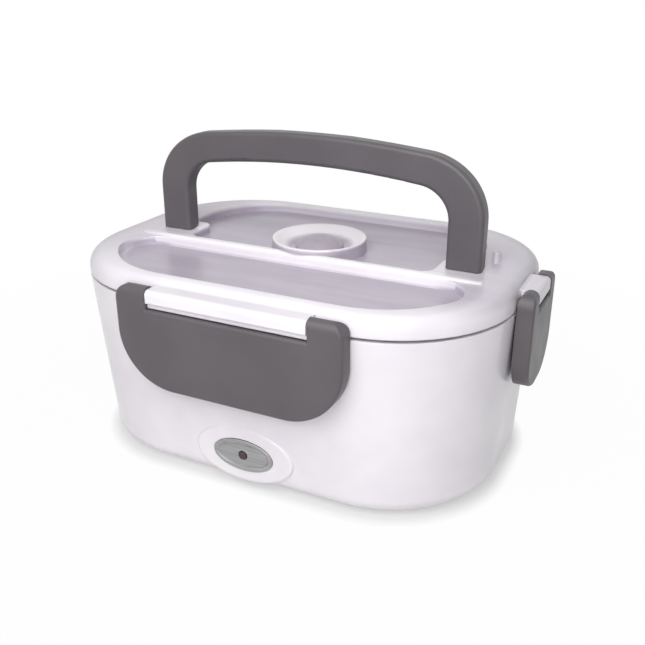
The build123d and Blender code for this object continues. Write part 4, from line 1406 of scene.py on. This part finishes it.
@dataclass(frozen=True)
class Lamp:
    """Square soft light aimed at the box."""

    name: str
    place: Point
    size: float
    power: float
    mirrored: bool = True

    def build(self, target: Point) -> None:
        """Hang the lamp and aim it.

        Args:
            target: point that it shines at, in millimetres.
        """
        data = bpy.data.lights.new(self.name, "AREA")
        data.size = self.size * MM
        data.energy = self.power
        lamp = put_in_scene(self.name, data)
        lamp.location = Vector(self.place) * MM
        aim = Vector(target) - Vector(self.place)
        lamp.rotation_euler = aim.to_track_quat("-Z", "Y").to_euler()
        lamp.visible_camera = False
        lamp.visible_glossy = self.mirrored


@dataclass(frozen=True)
class Studio:
    """White room, soft lamps and the camera of the photograph."""

    azimuth: float = 25.62          # degrees from the front towards +X
    elevation: float = 22.45
    distance: float = 451.4
    aim: Point = (8.49, 0.0, 68.43)
    focal_px: float = 807.0
    roll: float = 0.18
    centre_px: tuple[float, float] = (326.53, 314.5)    # where the aim shows in the picture
    picture_px: float = 645.0
    sensor: float = 36.0
    floor_size: float = 6000.0
    paper_colour: str = "#dadada"
    near_glow: float = 0.97         # glow round the box, a faint painted shade against full white far away
    stand: Rectangle = Rectangle(226.4, 152.0, 61.0)    # the paper that the box stands on
    contact_shadow_glow: float = 0.45      # and its share of that glow, up to one past the reach: a painted contact shadow
    contact_shadow_reach: float = 7.0
    glow_start: float = 150.0
    glow_end: float = 420.0
    room_light: float = 0.26
    room_colour: str = "#fbfaff"
    lamp_target: Point = (0.0, 0.0, 70.0)
    lamps: tuple[Lamp, ...] = (
        Lamp("key_beside_camera", (240.0, -625.0, 290.0), 400.0, 1.25),
        Lamp("soft_front_top", (60.0, -350.0, 450.0), 400.0, 1.9),
        Lamp("fill_back", (-250.0, 800.0, 260.0), 500.0, 2.6, mirrored=False),
    )

    def camera(self) -> None:
        """Place the camera as the photograph was taken."""
        a, e, roll = radians(self.azimuth), radians(self.elevation), radians(self.roll)
        back = Vector((sin(a) * cos(e), -cos(a) * cos(e), sin(e)))
        right = Vector((cos(a), sin(a), 0.0))
        up = back.cross(right)
        turned_right = right * cos(roll) + up * sin(roll)
        turned_up = up * cos(roll) - right * sin(roll)
        place = Vector(self.aim) + back * self.distance
        data = bpy.data.cameras.new("photo_camera")
        data.sensor_width = self.sensor
        data.lens = self.focal_px * self.sensor / self.picture_px
        data.shift_x = (self.picture_px / 2 - self.centre_px[0]) / self.picture_px
        data.shift_y = (self.centre_px[1] - self.picture_px / 2) / self.picture_px
        data.clip_start = 0.01
        data.clip_end = 50.0
        camera = put_in_scene("photo_camera", data)
        axes = Matrix((turned_right, turned_up, back)).transposed().to_4x4()
        camera.matrix_world = Matrix.Translation(place * MM) @ axes
        bpy.context.scene.camera = camera

    @staticmethod
    def seen(tree: bpy.types.NodeTree) -> Socket:
        """One where the surround is seen straight, mirrored or through a clear part.

        Args:
            tree: the node tree of the floor or the room.

        Returns:
            One for such rays, and none for light that falls on the box.
        """
        rays = add_node(tree, "ShaderNodeLightPath")
        mirrored = add_node(tree, "ShaderNodeMath", {"operation": "MAXIMUM"}, {
            0: rays.outputs["Is Camera Ray"], 1: rays.outputs["Is Glossy Ray"]})
        return add_node(tree, "ShaderNodeMath", {"operation": "MAXIMUM"}, {
            0: mirrored.outputs[0], 1: rays.outputs["Is Transmission Ray"]}).outputs[0]

    def paper(self) -> bpy.types.Material:
        """White paper: it glows to the camera, and less so round the box, which paints a soft shadow
        there and lets the real shadow show.

        Returns:
            The finished material.
        """
        surface = Surface("paper_white")
        surface.fix(roughness=1.0, specular_ior_level=0.0, emission_color=linear("#ffffff"))
        middle = surface.flat_length(surface.along("X"), surface.along("Y"))
        far = surface.share(middle, self.glow_start, self.glow_end, self.near_glow)
        edge = self.stand.corner
        # Painted shadow: the glow dims towards the box's foot, darkening the paper beyond the real
        # shadow.
        contact_shadow = surface.share(
            self.stand.distance(surface), edge, edge + self.contact_shadow_reach, self.contact_shadow_glow)
        glow = surface.combined("MULTIPLY", far, contact_shadow, self.seen(surface.tree))
        surface.feed("Base Color", surface.blend(glow, self.paper_colour, "#000000"))
        surface.feed("Emission Strength", glow)
        return surface.material

    def floor(self) -> None:
        """White floor that stays white to the camera and keeps the soft shadow."""
        half = self.floor_size / 2 * MM
        data = bpy.data.meshes.new("studio_floor")
        data.from_pydata(
            [(-half, -half, 0), (half, -half, 0), (half, half, 0), (-half, half, 0)], [],
            [(0, 1, 2, 3)])
        data.materials.append(self.paper())
        put_in_scene("studio_floor", data)

    def room(self) -> None:
        """Even white surround: full white to the camera and in reflections, softer as light."""
        world = bpy.data.worlds.new("studio_room")
        bpy.context.scene.world = world
        world.use_nodes = True
        tree = world.node_tree
        tree.nodes.clear()
        soft = add_node(tree, "ShaderNodeBackground", inputs={
            "Color": linear(self.room_colour), "Strength": self.room_light})
        white = add_node(tree, "ShaderNodeBackground", inputs={
            "Color": linear("#ffffff"), "Strength": 1.0})
        mixed = add_node(tree, "ShaderNodeMixShader", inputs={
            0: self.seen(tree), 1: soft.outputs[0], 2: white.outputs[0]})
        add_node(tree, "ShaderNodeOutputWorld", inputs={"Surface": mixed.outputs[0]})

    def build(self) -> None:
        """Set up the whole studio."""
        self.camera()
        self.floor()
        self.room()
        for lamp in self.lamps:
            lamp.build(self.lamp_target)
        bpy.context.scene.view_settings.view_transform = "Standard"


def main() -> None:
    """Build the sub-assemblies in order, then the studio, and log the body's outline."""
    logging.basicConfig(level=logging.INFO, format="%(message)s")
    form = BodyForm.of_model()
    log.info("body outline %.1f x %.1f mm, seam at %.1f mm", form.length, form.width, form.seam)
    palette = Palette()
    for kind in (OuterBody, Heater, PowerInlet, Badge, FoodTray, Lid, Handle, Clips):
        log.info("-- %s", kind.__name__)
        kind(palette, form).build()
    Studio().build()


if __name__ == "__main__":
    main()
